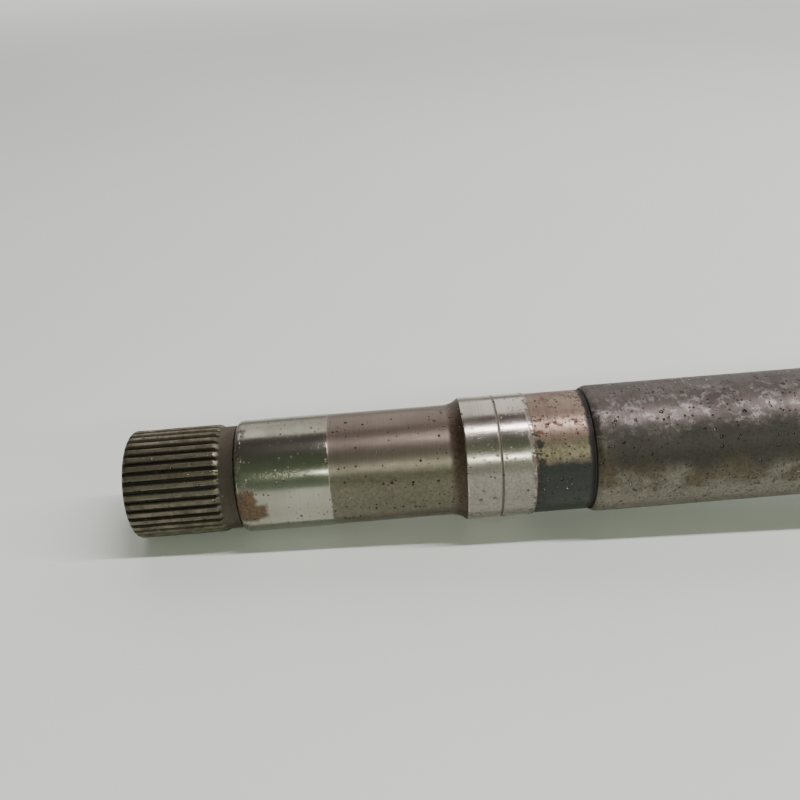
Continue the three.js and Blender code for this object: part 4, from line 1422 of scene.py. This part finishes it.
@dataclass
class Gaiter:
    """A folded rubber boot.

    Args:
        name: the CAD node.
        corners: (s, r, fillet) of its outside, mm.
        inner_start: radius inside the first cuff, mm.
        inner_end: radius inside the last cuff, mm.
        cuffs: where the first cuff ends and the last cuff starts, mm.
        wall: wall thickness, mm.
    """

    name: str
    corners: Sequence[Corner]
    inner_start: float
    inner_end: float
    cuffs: tuple[float, float]
    wall: float = 2.0

    def data(self, low: float = -1e9, high: float = 1e9) -> MeshData:
        """The wall between two places along the axle.

        Args:
            low: where it starts, mm.
            high: where it ends, mm.

        Returns:
            The mesh.
        """
        outside = refined(rounded(self.corners, 6), 1.6)
        outside = [p for p in outside if low <= p[0] <= high]
        inside = []
        for s, r in outside:
            if s <= self.cuffs[0]:
                inside.append((s, self.inner_start))
            elif s >= self.cuffs[1]:
                inside.append((s, self.inner_end))
            else:
                inside.append((s, r - self.wall))
        return revolve(outside + inside[::-1], 128, closed=True)


@dataclass
class InnerGaiter:
    """The boot of the tripod joint, in two halves that meet.

    Args:
        seat: the tulip's boot seat radius, mm.
        meet: where the halves meet, mm.
        bend_end: where the boot's bend would end, mm; not used.
    """

    seat: float
    meet: float = 597.5
    bend_end: float = 625.0

    def build(self, kit: Kit) -> None:
        """Builds both halves.

        Args:
            kit: frame and materials.
        """
        big = self.seat + 0.2
        folds = ((0.72, 1.11), (0.63, 1.0), (0.34, 0.72), (0.09, 0.39))
        first, last = 578.0, 654.0
        pitch = (last - first) / len(folds)
        corners: list[Corner] = [(560.0, big + 2.5, 0), (561.0, big + 2.5, 0.5), (577.0, big + 2.5, 1.2)]
        for i, (valley, peak) in enumerate(folds):
            low, high = (THIN_END + (big - THIN_END) * share for share in (valley, peak))
            corners += [(first + pitch * i, low, 2.4), (first + pitch * (i + 0.5), high, 3.2)]
        corners += [(654.0, 15.7, 1.6), (667.4, 15.7, 0.6), (668.0, 15.2, 0)]
        boot = Gaiter("inner_boot", corners, big, 13.2, (575.2, 655.0))
        big_half = kit.frame.build("inner_boot_big_end", boot.data(high=self.meet))
        small_half = kit.frame.build("inner_boot_small_end", boot.data(low=self.meet - 1.0))
        for half in (big_half, small_half):
            half.data.materials.append(kit.materials.get(Look.RUBBER))
            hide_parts("inner_boot")
        kit.frame.point(574)
        kit.frame.point(self.meet - 1.0)
        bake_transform(big_half)
        kit.frame.point(self.meet)
        kit.frame.point(self.bend_end)
        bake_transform(small_half)


@dataclass
class OuterGaiter:
    """The boot of the ball joint.

    Args:
        seat: the bell's boot seat radius, mm.
        bend: where the boot's bend would start and end, mm; not used.
    """

    seat: float = 43.0
    bend: tuple[float, float] = (850.0, 906.0)

    def build(self, kit: Kit) -> None:
        """Builds the boot.

        Args:
            kit: frame and materials.
        """
        big = self.seat + 0.2
        folds = ((0.0, 0.25), (0.11, 0.46), (0.26, 0.67), (0.43, 0.88), (0.65, 1.08))
        first, last = 806.0, 904.0
        pitch = (last - first) / len(folds)
        corners: list[Corner] = [(792.0, 15.2, 0), (792.6, 15.7, 0.5), (804.6, 15.7, 1.2)]
        for i, (valley, peak) in enumerate(folds):
            low, high = (THIN_END + (big - THIN_END) * share for share in (valley, peak))
            corners += [(first + pitch * i, low, 2.4), (first + pitch * (i + 0.5), high, 3.4)]
        corners += [
            (903.4, big - 6.0, 2.0), (904.8, big + 2.5, 1.2), (918.4, big + 2.5, 0.6), (919.0, big + 2.0, 0)
        ]
        boot = Gaiter("outer_boot", corners, 13.2, big, (804.6, 906.6))
        obj = kit.frame.build("outer_boot_wall", boot.data())
        obj.data.materials.append(kit.materials.get(Look.RUBBER))
        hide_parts("outer_boot")
        kit.frame.point(self.bend[0])
        kit.frame.point(self.bend[1])
        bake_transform(obj)


@dataclass
class SupportBearing:
    """The ball bearing on the link shaft with its seals and rings, mm.

    Args:
        centre: its middle along the axle.
        width: ring width.
        bore: bore radius.
        outer: outside radius.
    """

    centre: float = BEARING_CENTRE
    width: float = 14.0
    bore: float = 17.5
    outer: float = 31.0

    def build(self, kit: Kit) -> None:
        """Builds rings, seals and retaining rings.

        Args:
            kit: frame and materials.
        """
        a, b = self.centre - self.width / 2, self.centre + self.width / 2
        inner: list[Corner] = [
            (a, self.bore + 0.6, 0), (a, 21.2, 0.3), (a + 0.4, 21.55, 0.2), (a + 3.9, 21.55, 0.1),
            (self.centre, 19.9, 2.6), (b - 3.9, 21.55, 0.1), (b - 0.4, 21.55, 0.2), (b, 21.2, 0.3),
            (b, self.bore + 0.6, 0.2), (b - 0.6, self.bore, 0.2), (a + 0.6, self.bore, 0.2),
            (a, self.bore + 0.6, 0),
        ]
        outer: list[Corner] = [
            (a, 27.0, 0), (a, self.outer - 0.9, 0.4), (a + 0.9, self.outer, 0.4), (b - 0.9, self.outer, 0.4),
            (b, self.outer - 0.9, 0.4), (b, 27.0, 0.1), (b - 3.9, 26.95, 0.1), (self.centre, 28.6, 2.6),
            (a + 3.9, 26.95, 0.1), (a, 27.0, 0),
        ]
        rings = ((inner, "bearing_inner_ring", "link"), (outer, "bearing_outer_ring", "bearing_housing_ring"))
        for corners, node, body in rings:
            data = revolve(rounded(corners, 4)[:-1], 128, closed=True)
            kit.ride(f"{node}_race", data, Look.RACE, body, node)
        for node, start, way in (
            ("bearing_seal_inboard", a + 0.3, 1), ("bearing_seal_outboard", b - 0.3, -1)
        ):
            self.seal(kit, node, start, way)
        self.snap_ring(kit, a - 0.3 - 1.5)
        self.dust_ring(kit, b + 2.0)

    def seal(self, kit: Kit, node: str, face: float, way: int) -> None:
        """Builds one seal.

        Args:
            kit: frame and materials.
            node: the CAD node.
            face: its outer face, mm.
            way: 1 if the bearing's middle is further along, else -1.
        """
        steps = (
            (26.7, 0.0), (26.0, 0.0), (25.6, 0.25), (23.4, 0.25), (23.0, 0.05), (22.2, 0.05), (21.95, 0.3)
        )
        outside = [(face + way * depth, r) for r, depth in steps]
        inside = [(face + way * 0.85, 21.95), (face + way * 0.85, 26.7)]
        profile = outside + inside
        profile = profile if way < 0 else profile[::-1]
        data = revolve(profile, 96, closed=True)
        kit.ride(f"{node}_lip", data, Look.SEAL, "bearing_housing_ring", node)

    def snap_ring(self, kit: Kit, start: float) -> None:
        """Builds the circlip with its two eyes.

        Args:
            kit: frame and materials.
            start: where it starts, mm.
        """
        gap = 0.24
        turns = [math.pi / 2 + gap + (2 * math.pi - 2 * gap) * k / 60 for k in range(61)]
        outer = []
        for k, turn in enumerate(turns):
            eye = max(smooth(8 - k, 0, 6), smooth(k - 52, 0, 6))
            r = 19.2 + 1.6 * eye + 0.7 * math.sin(math.pi * k / 60)
            outer.append((r * math.cos(turn), r * math.sin(turn)))
        inner = [(16.75 * math.cos(t), 16.75 * math.sin(t)) for t in reversed(turns)]
        data = self.band(outer, inner, start, start + 1.5)
        kit.ride("bearing_snap_ring_clip", data, Look.SPRING, "link", "bearing_snap_ring")

    @staticmethod
    def band(outer: Sequence[Point], inner: Sequence[Point], s0: float, s1: float) -> MeshData:
        """An open flat ring as a strip of quads.

        Args:
            outer: outside points.
            inner: inside points in the opposite order.
            s0: start, mm.
            s1: end, mm.

        Returns:
            The mesh.
        """
        data = MeshData()
        n = len(outer)
        back = list(reversed(inner))
        for i in range(n):
            for s in (s0, s1):
                data.verts += [(s, *outer[i]), (s, *back[i])]
        for i in range(n - 1):
            a, b = 4 * i, 4 * (i + 1)
            data.faces += [
                (a, a + 1, b + 1, b), (a + 2, b + 2, b + 3, a + 3), (a, b, b + 2, a + 2),
                (a + 1, a + 3, b + 3, b + 1),
            ]
        data.faces += [(0, 2, 3, 1), (4 * n - 4, 4 * n - 3, 4 * n - 1, 4 * n - 2)]
        return data

    def dust_ring(self, kit: Kit, start: float) -> None:
        """Builds the pressed flinger.

        Args:
            kit: frame and materials.
            start: where it starts, mm.
        """
        corners: list[Corner] = [
            (start + 0.2, 29.5, 0), (
                start + 1.4, 29.5, 0.3
            ), (start + 1.2, 24.0, 0.6), (start + 2.4, 22.2, 0.8),
            (start + 7.0, 22.1, 0.3), (start + 7.0, 20.7, 0.3), (start, 20.7, 0.4), (start, 27.8, 0.6),
            (start + 0.2, 29.5, 0),
        ]
        data = revolve(rounded(corners, 4)[:-1], 128, closed=True)
        kit.ride(
            "bearing_dust_ring_pressing", data, Look.PRESSING, "link", "bearing_dust_ring"
        )


@dataclass
class TulipHousing:
    """The outer member of the tripod joint, mm.

    Args:
        seat: boot seat radius.
        body: body radius.
        roller_pitch: distance from the axle to a roller's middle.
        track: track radius.
        bottom: the track's flat bottom.
    """

    seat: float
    body: float
    roller_pitch: float = 19.6
    track: float = 14.7
    bottom: float = 29.85

    def build(self, kit: Kit) -> None:
        """Builds the housing.

        Args:
            kit: frame and materials.
        """
        outside: list[Corner] = [
            (480.0, 0, 0), (480.0, 21.0, 0.5), (481.0, 22.0, 0.6), (493.5, 22.0, 1.5), (497.5, 25.0, 2.0),
            (503.5, self.body - 1.6, 2.5), (507.5, self.body, 2.0), (559.7, self.body, 0.25),
            (559.8, self.seat, 0.2), (573.0, self.seat, 0.5), (
                574.9, self.seat - 0.8, 0.5
            ), (575.0, 29.95, 0),
        ]
        outer = refined(rounded(outside), 1.8)
        mouth = [(575.0, 24.0), (574.2, 23.6), (553.0, 18.2), (530.0, 18.2), (508.0, 18.2), (508.0, 0.0)]
        inner = refined(mouth, 2.5)
        cut = len(outer)
        profile = outer + inner
        inside = set(profile[cut:])

        def radius(s: float, r: float, angle: float) -> float:
            """Radius of the housing at a station: tracks inside, scallops outside.

            Args:
                s: place along the axle, mm.
                r: the profile's radius there, mm.
                angle: turn round the axle, radians.

            Returns:
                The radius, mm.
            """
            if (s, r) in inside:
                return max(r, self.track_reach(angle)) if s > 509 else r
            if s < 496:
                return r
            return min(r, self.scallop_reach(s, angle))

        data = revolve(profile, 216, radius)
        kit.ride("tulip_housing_forging", data, Look.HOUSING, "link", "tulip_housing")

    def track_reach(self, angle: float) -> float:
        """How far out the roller tracks reach at an angle.

        Args:
            angle: angle round the axle.

        Returns:
            The radius, or 0 between tracks.
        """
        best = 0.0
        for k in range(3):
            off = angle - math.pi / 2 - 2 * math.pi * k / 3
            side = math.sin(off) * self.roller_pitch
            if math.cos(off) > 0 and abs(side) < self.track:
                reach = math.cos(off) * self.roller_pitch + math.sqrt(self.track**2 - side**2)
                best = max(best, min(reach, self.bottom / math.cos(off)))
        return best

    def scallop_reach(self, s: float, angle: float) -> float:
        """Where the shallow outside scallops between the tracks cut the body.

        Args:
            s: distance along the axle, mm.
            angle: angle round the axle.

        Returns:
            The radius of the scallop surface, or a large number.
        """
        ease = smooth(s, 556.0, 552.0)
        if ease <= 0:
            return 1e6
        best = 1e6
        centre, size = self.body + 15.5, 20.0
        for k in range(3):
            off = angle + math.pi / 2 - 2 * math.pi * k / 3
            side = math.sin(off) * centre
            if math.cos(off) > 0 and abs(side) < size:
                best = min(best, math.cos(off) * centre - math.sqrt(size**2 - side**2))
        return best + (1 - ease) * 6.0


@dataclass
class HalfShaft:
    """The bar between the joints, mm.

    Args:
        radius: bar radius.
        seat: boot seat radius.
    """

    radius: float = 12.0
    seat: float = 13.0

    def build(self, kit: Kit) -> None:
        """Builds the bar.

        Args:
            kit: frame and materials.
        """
        bar, seat = self.radius, self.seat
        corners: list[Corner] = [
            (532.0, 0, 0), (532.0, 8.8, 0.3), (532.6, 9.5, 0.3), (556.0, 9.5, 0.2), (556.0, bar - 0.5, 0.2),
            (557.0, bar, 0.4), (652.0, bar, 0.8), (654.0, seat, 0.8), (670.0, seat, 0.8), (672.0, bar, 0.8),
            (788.0, bar, 0.8), (790.0, seat, 0.8), (806.0, seat, 0.8), (808.0, bar, 0.8), (911.6, bar, 0.3),
            (912.7, bar - 0.5, 0.2), (912.7, 10.3, 0.2), (940.2, 10.3, 0.3), (941.0, 9.4, 0.3), (941.0, 0, 0),
        ]
        data = revolve(refined(rounded(corners), 5.0), 96)
        kit.ride("axle_shaft_bar", data, Look.SHAFT, "shaft", "axle_shaft")


@dataclass
class JointBell:
    """The bell of the ball joint with its splined and threaded stub, mm.

    Args:
        centre: the joint's centre.
        radius: body radius.
        seat: boot seat radius.
        cavity: cavity radius.
        teeth: stub spline teeth.
        spline: stub spline radius.
        thread: thread radius.
        pitch: thread pitch.
    """

    centre: float = 925.0
    radius: float = 46.0
    seat: float = 43.0
    cavity: float = 32.3
    teeth: int = 28
    spline: float = 15.0
    thread: float = 12.0
    pitch: float = 1.5

    def build(self, kit: Kit) -> None:
        """Builds the bell and its stub.

        Args:
            kit: frame and materials.
        """
        data = self.shell()
        shell_end = len(data.faces)
        data.add(self.splines())
        spline_end = len(data.faces)
        data.add(self.screw())
        obj = kit.frame.build("outer_joint_bell_forging", data)
        for finish in (Look.HOUSING, Look.STUB_SPLINE, Look.THREAD):
            obj.data.materials.append(kit.materials.get(finish))
        for polygon in obj.data.polygons:
            late = polygon.index >= spline_end
            polygon.material_index = 2 if late else 1 if polygon.index >= shell_end else 0
        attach(obj, "hub")
        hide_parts("outer_joint_bell")

    def shell(self) -> MeshData:
        """The bell itself.

        Returns:
            The mesh.
        """
        c = self.centre
        edge = math.acos(-14.4 / self.cavity)
        arc = [
            (c + self.cavity * math.cos(edge * k / 24), self.cavity * math.sin(edge * k / 24) if k else 0.0)
            for k in range(25)
        ]
        corners: list[Corner] = [
            (907.0, 32.4, 0), (907.0, 42.4, 0.4), (907.6, self.seat, 0.4), (919.1, self.seat, 0.2),
            (919.3, 45.2, 0.4), (921.0, self.radius, 0.8), (945.0, self.radius, 1.5), (950.0, 44.0, 2.5),
            (
                955.0, 39.0, 2.5
            ), (957.6, 32.4, 0.8), (958.2, 32.0, 0.3), (964.0, 32.0, 0.5), (964.1, 26.2, 0.3),
            (966.8, 25.6, 0.4), (967.0, 25.0, 0.3), (967.0, 17.0, 1.2), (969.5, 13.6, 0.8), (972.0, 13.6, 0),
            (972.0, 0.0, 0),
        ]
        return revolve(arc + refined(rounded(corners), 4.0), 160)

    def splines(self) -> MeshData:
        """The stub's spline.

        Returns:
            The mesh.
        """
        root = self.spline - 1.1
        rows = [(968.6, root), (968.6, root + 0.1), (969.6, self.spline)]
        rows += [(970.5 + 3.9 * k, self.spline) for k in range(9)]
        rows += [(1002.6, self.spline), (1003.4, root + 0.1), (1003.4, root)]

        def radius(_s: float, r: float, angle: float) -> float:
            """Radius of the stub spline at a station.

            Args:
                _s: place along the axle, mm.
                r: the profile's radius there, mm.
                angle: turn round the axle, radians.

            Returns:
                The radius, mm.
            """
            return root + (r - root) * tooth_share(angle, self.teeth, 0.18, 0.36)

        return revolve([(968.6, 0.0), *rows, (1003.4, 0.0)], self.teeth * 12, radius)

    def screw(self) -> MeshData:
        """The threaded end, with a real helix.

        Returns:
            The mesh.
        """
        start, end = 1005.6, 1033.0
        depth = 0.9
        rows: list[Point] = [(1002.9, 0.0), (1002.9, 13.4), (1003.6, 11.3), (start, 11.2)]
        count = int((end - 1.4 - start) / 0.25)
        rows += [(start + 0.25 * (k + 1), self.thread) for k in range(count)]
        rows += [
            (end - 1.0, self.thread), (end - 0.3, 10.9), (end, 10.6), (end, 3.2), (end - 0.1, 3.0),
            (end - 3.0, 0.0)
        ]

        def radius(s: float, r: float, angle: float) -> float:
            """Radius of the stub thread at a station, following the helix.

            Args:
                s: place along the axle, mm.
                r: the profile's radius there, mm.
                angle: turn round the axle, radians.

            Returns:
                The radius, mm.
            """
            if r < self.thread:
                return r
            turn = (s / self.pitch - angle / (2 * math.pi)) % 1.0
            lift = min(1.0, 1.25 * (1 - abs(2 * turn - 1)))
            fade = smooth(s, start, start + 1.5)
            return self.thread - depth * (1 - lift * fade)

        return revolve(rows, 72, radius)


@dataclass
class WheelEnd:
    """The tone ring, the dust shield and the hub nut, mm.

    Args:
        ring_teeth: tone ring teeth.
        ring_tip: tone ring tip radius.
        bell: bell radius under the ring.
        across: nut size across flats.
    """

    ring_teeth: int = 48
    ring_tip: float = 52.4
    bell: float = 46.0
    across: float = 34.0

    def build(self, kit: Kit) -> None:
        """Builds the three pieces.

        Args:
            kit: frame and materials.
        """
        kit.ride("abs_ring_teeth", self.tone_ring(), Look.SINTERED, "hub", "abs_ring")
        kit.ride(
            "bell_dust_shield_pressing", self.shield(), Look.PRESSING, "hub", "bell_dust_shield",
        )
        kit.ride("hub_nut_steel", self.nut(), Look.NUT, "hub", "hub_nut")

    def tone_ring(self) -> MeshData:
        """The toothed ring.

        Returns:
            The mesh.
        """
        root = self.ring_tip - 2.8
        bore = self.bell + 0.2
        rows = [(932.0, bore + 0.4), (932.0, root), (932.0, self.ring_tip - 0.3), (932.3, self.ring_tip)]
        rows += [
            (934.5, self.ring_tip), (939.5, self.ring_tip), (941.7, self.ring_tip),
            (942.0, self.ring_tip - 0.3)
        ]
        rows += [(942.0, root), (942.0, bore + 0.4), (941.6, bore), (932.4, bore)]

        def radius(_s: float, r: float, angle: float) -> float:
            """Radius of the tone ring at a station, cut down between its teeth.

            Args:
                _s: place along the axle, mm.
                r: the profile's radius there, mm.
                angle: turn round the axle, radians.

            Returns:
                The radius, mm.
            """
            if r <= root:
                return r
            return root + (r - root) * tooth_share(angle, self.ring_teeth, 0.2, 0.31)

        return revolve(rows, self.ring_teeth * 12, radius, closed=True)

    @staticmethod
    def shield() -> MeshData:
        """The pressed dust shield.

        Returns:
            The mesh.
        """
        corners: list[Corner] = [
            (958.8, 41.1, 0), (959.9, 41.2, 0.2), (959.8, 35.4, 0.8), (960.6, 33.5, 0.8), (963.6, 33.4, 0.3),
            (963.6, 32.2, 0.2), (958.6, 32.2, 0.4), (958.6, 38.0, 0.6), (958.8, 41.1, 0),
        ]
        return revolve(rounded(corners, 4)[:-1], 128, closed=True)

    def nut(self) -> MeshData:
        """The flanged hexagon nut with its collar.

        Returns:
            The mesh.
        """
        half = self.across / 2
        corner = self.across / math.sqrt(3)
        corners: list[Corner] = [
            (1010.0, 12.8, 0), (
                1010.0, corner + 1.2, 0.2
            ), (1010.4, corner + 1.5, 0.2), (1012.0, corner + 1.5, 0.5),
            (
                1013.6, corner - 0.4, 0.6
            ), (1014.6, corner, 0.3), (1022.0, corner, 0.3), (1024.2, corner - 3.2, 0.2),
            (
                1024.2, 15.2, 0.4
            ), (1026.8, 15.0, 0.4), (1027.0, 14.0, 0.3), (1027.0, 12.6, 0.2), (1026.4, 12.2, 0.2),
            (1010.6, 12.2, 0.2), (1010.0, 12.8, 0),
        ]

        def radius(s: float, r: float, angle: float) -> float:
            """Radius of the nut at a station, hexagonal over its flats.

            Args:
                s: place along the axle, mm.
                r: the profile's radius there, mm.
                angle: turn round the axle, radians.

            Returns:
                The radius, mm.
            """
            if r < 15.3 or s < 1012.8 or s > 1024.3:
                return r
            off = (angle + math.pi / 6) % (math.pi / 3) - math.pi / 6
            flat = half / math.cos(off) if abs(off) < math.pi / 6 else corner
            keep = smooth(s, 1014.4, 1013.0)
            return min(r, flat + (r - flat) * keep if r > flat else r)

        profile = refined(rounded(corners, 4)[:-1], 0.7)
        return revolve(profile, 180, radius, closed=True)


class Internals:
    """The CAD nodes that stay as they are, all of them inside the joints and the bearing."""

    FINISHES = (
        (("ball_cage", "bearing_ball_cage"), Look.STRIP),
        (("bearing_ball_", "drive_ball_", "tripod_roller_"), Look.BALL),
        (("roller_needles_",), Look.RACE),
        (("tripod_spider", "ball_star", "roller_washer_"), Look.INNER),
        (("spider_snap_ring_", "star_snap_ring", "roller_clip_"), Look.SPRING),
    )

    def finish_for(self, node: str) -> Finish:
        """Picks a CAD node's finish.

        Args:
            node: the node's name.

        Returns:
            The finish.
        """
        for starts, finish in self.FINISHES:
            if node.startswith(starts):
                return finish
        return Look.INNER

    def dress(self, kit: Kit, nodes: dict[str, bpy.types.Object]) -> None:
        """Gives every CAD node its material.

        Args:
            kit: frame and materials.
            nodes: the frame's nodes.
        """
        for name, obj in nodes.items():
            obj.data.materials.clear()
            obj.data.materials.append(kit.materials.get(self.finish_for(name), Coordinates.OBJECT))


# ---------------------------------------------------------------- studio
@dataclass
class Camera:
    """The main camera.

    Args:
        location: where it stands, metres.
        rotation: Euler angles, degrees.
        lens: focal length on a 36 mm sensor.
    """

    location: tuple[float, float, float]
    rotation: tuple[float, float, float]
    lens: float = 37.6

    def build(self) -> None:
        """Makes the camera and sets it as the scene's."""
        data = bpy.data.cameras.new("main_camera")
        data.lens = self.lens
        data.sensor_width = 36.0
        data.clip_start = 0.01
        data.dof.use_dof = False
        obj = bpy.data.objects.new("main_camera", data)
        obj.location = self.location
        obj.rotation_euler = Euler([math.radians(a) for a in self.rotation])
        bpy.context.scene.collection.objects.link(obj)
        bpy.context.scene.camera = obj


@dataclass
class Studio:
    """A pale floor in a dim room with two long lamps.

    Args:
        floor: floor colour.
    """

    floor: Colour = (0.88, 0.905, 0.865)

    ROOM = (
        (0.0, (0.3, 0.38, 0.29)), (0.1, (0.16, 0.21, 0.14)), (0.3, (0.14, 0.18, 0.12)),
        (0.42, (0.09, 0.085, 0.08)), (0.6, (0.11, 0.09, 0.1)), (0.7, (0.2, 0.185, 0.18)),
        (1.0, (0.36, 0.36, 0.34)),
    )

    def build(self) -> None:
        """Builds floor, room and lamps."""
        self.room()
        self.ground()
        self.lamp("lamp_overhead", 85.0, (-0.4, 1.7), 27.0, (1.0, 0.96, 0.98))
        self.lamp("lamp_front", 30.0, (-0.56, 1.3), 8.5, (0.95, 1.0, 0.86))
        self.lamp("lamp_back", 140.0, (-2.2, 2.2), 44.0, (1.0, 1.0, 0.97), 2.6, 2.9)

    def room(self) -> None:
        """The room's light, by how far a direction has turned from the front horizon over the top."""
        world = bpy.data.worlds.new("studio_world")
        world.use_nodes = True
        world.node_tree.nodes.clear()
        g = Graph(world.node_tree)
        split = g.add("ShaderNodeSeparateXYZ", {0: g.add("ShaderNodeTexCoord").outputs["Generated"]})
        height = g.math("MAXIMUM", split.outputs[2], 0.0)
        turn = g.math("ARCTAN2", height, g.math("MULTIPLY", split.outputs[1], -1.0))
        ramp = g.add("ShaderNodeValToRGB", {0: g.math("DIVIDE", turn, math.pi)})
        stops = ramp.color_ramp.elements
        stops[0].position, stops[0].color = self.ROOM[0][0], (*self.ROOM[0][1], 1.0)
        stops[1].position, stops[1].color = self.ROOM[-1][0], (*self.ROOM[-1][1], 1.0)
        for place, colour in self.ROOM[1:-1]:
            stops.new(place).color = (*colour, 1.0)
        dim = g.add("ShaderNodeBackground", {"Color": ramp.outputs[0], "Strength": 1.0})
        pale = g.add("ShaderNodeBackground", {"Color": (0.6, 0.61, 0.58), "Strength": 1.0})
        seen = g.add("ShaderNodeLightPath").outputs["Is Camera Ray"]
        mixed = g.add("ShaderNodeMixShader", {0: seen, 1: dim.outputs[0], 2: pale.outputs[0]})
        g.add("ShaderNodeOutputWorld", {"Surface": mixed.outputs[0]})
        bpy.context.scene.world = world

    def ground(self) -> None:
        """The pale floor."""
        mesh = bpy.data.meshes.new("floor")
        size = 14.0
        mesh.from_pydata(
            [(-size, -size, 0), (size, -size, 0), (size, size, 0), (-size, size, 0)], [], [(0, 1, 2, 3)]
        )
        obj = bpy.data.objects.new("floor", mesh)
        bpy.context.scene.collection.objects.link(obj)
        material = bpy.data.materials.new("floor_matte")
        material.use_nodes = True
        material.node_tree.nodes.clear()
        g = Graph(material.node_tree)
        where = g.add("ShaderNodeTexCoord").outputs["Object"]
        broad = g.add("ShaderNodeTexNoise", {"Vector": where, "Scale": 3.0, "Detail": 3.0})
        darker = tuple(0.97 * c for c in self.floor)
        colour = g.mix(g.span(broad.outputs[0], 0.35, 0.65), self.floor, darker)
        away = g.add("ShaderNodeVectorMath", {0: where}, operation="LENGTH").outputs["Value"]
        glow = g.mix(g.span(away, 0.9, 3.0), (0.0, 0.0, 0.0), (0.42, 0.43, 0.41))
        inputs = {"Base Color": colour, "Roughness": 0.7, "Emission Color": glow, "Emission Strength": 1.0}
        shader = g.add("ShaderNodeBsdfPrincipled", inputs)
        g.add("ShaderNodeOutputMaterial", {"Surface": shader.outputs[0]})
        obj.data.materials.append(material)
        obj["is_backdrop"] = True

    @staticmethod
    def lamp(
        name: str,
        turn: float,
        span: tuple[float, float],
        power: float,
        colour: Colour,
        width: float = 0.07,
        away: float = 1.3,
    ) -> None:
        """Adds a long lamp parallel to the axle, facing it.

        Args:
            name: its name.
            turn: degrees from the front horizon over the top.
            span: where it starts and ends along the axle, metres.
            power: watts.
            colour: its colour.
            width: its width, metres.
            away: its distance from the axle, metres.
        """
        data = bpy.data.lights.new(name, "AREA")
        data.shape = "RECTANGLE"
        data.size = span[1] - span[0]
        data.size_y = width
        data.energy = power
        data.color = colour
        angle = math.radians(turn)
        obj = bpy.data.objects.new(name, data)
        obj.location = (sum(span) / 2, -away * math.cos(angle), away * math.sin(angle))
        obj.rotation_euler = Euler((math.pi / 2 - angle, 0.0, 0.0))
        obj.visible_camera = False
        bpy.context.scene.collection.objects.link(obj)


def main() -> None:
    """Loads the frame, builds every sub-assembly in order and reports its pieces."""
    logging.basicConfig(level=logging.INFO, format="%(name)s: %(message)s")
    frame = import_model()
    kit = Kit(AxleFrame(frame["joints"]), Materials())
    Internals().dress(kit, frame["nodes"])
    for assembly in (
        LinkShaft(),
        SupportBearing(),
        TulipHousing(BOOT_SEAT, BOOT_SEAT + BOOT_SEAT_LIP),
        HalfShaft(),
        JointBell(),
        WheelEnd(),
        InnerGaiter(BOOT_SEAT),
        OuterGaiter(),
        BandClamp("inner_boot_clamp_large", "link", BOOT_SEAT + INNER_CUFF_WALL, INNER_LARGE_CLAMP_S),
        BandClamp("inner_boot_clamp_small", "shaft", SMALL_CLAMP_R, INNER_SMALL_CLAMP_S),
        BandClamp("outer_boot_clamp_large", "hub", LARGE_OUTER_CLAMP_R, OUTER_LARGE_CLAMP_S),
        BandClamp("outer_boot_clamp_small", "shaft", SMALL_CLAMP_R, OUTER_SMALL_CLAMP_S),
    ):
        known = {piece.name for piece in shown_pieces()}
        assembly.build(kit)
        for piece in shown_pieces():
            if piece.name not in known:
                LOG.info("%s: built %s", type(assembly).__name__, piece.name)
    Studio().build()
    Camera(CAMERA_PLACE, CAMERA_TURN).build()


if __name__ == "__main__":
    main()
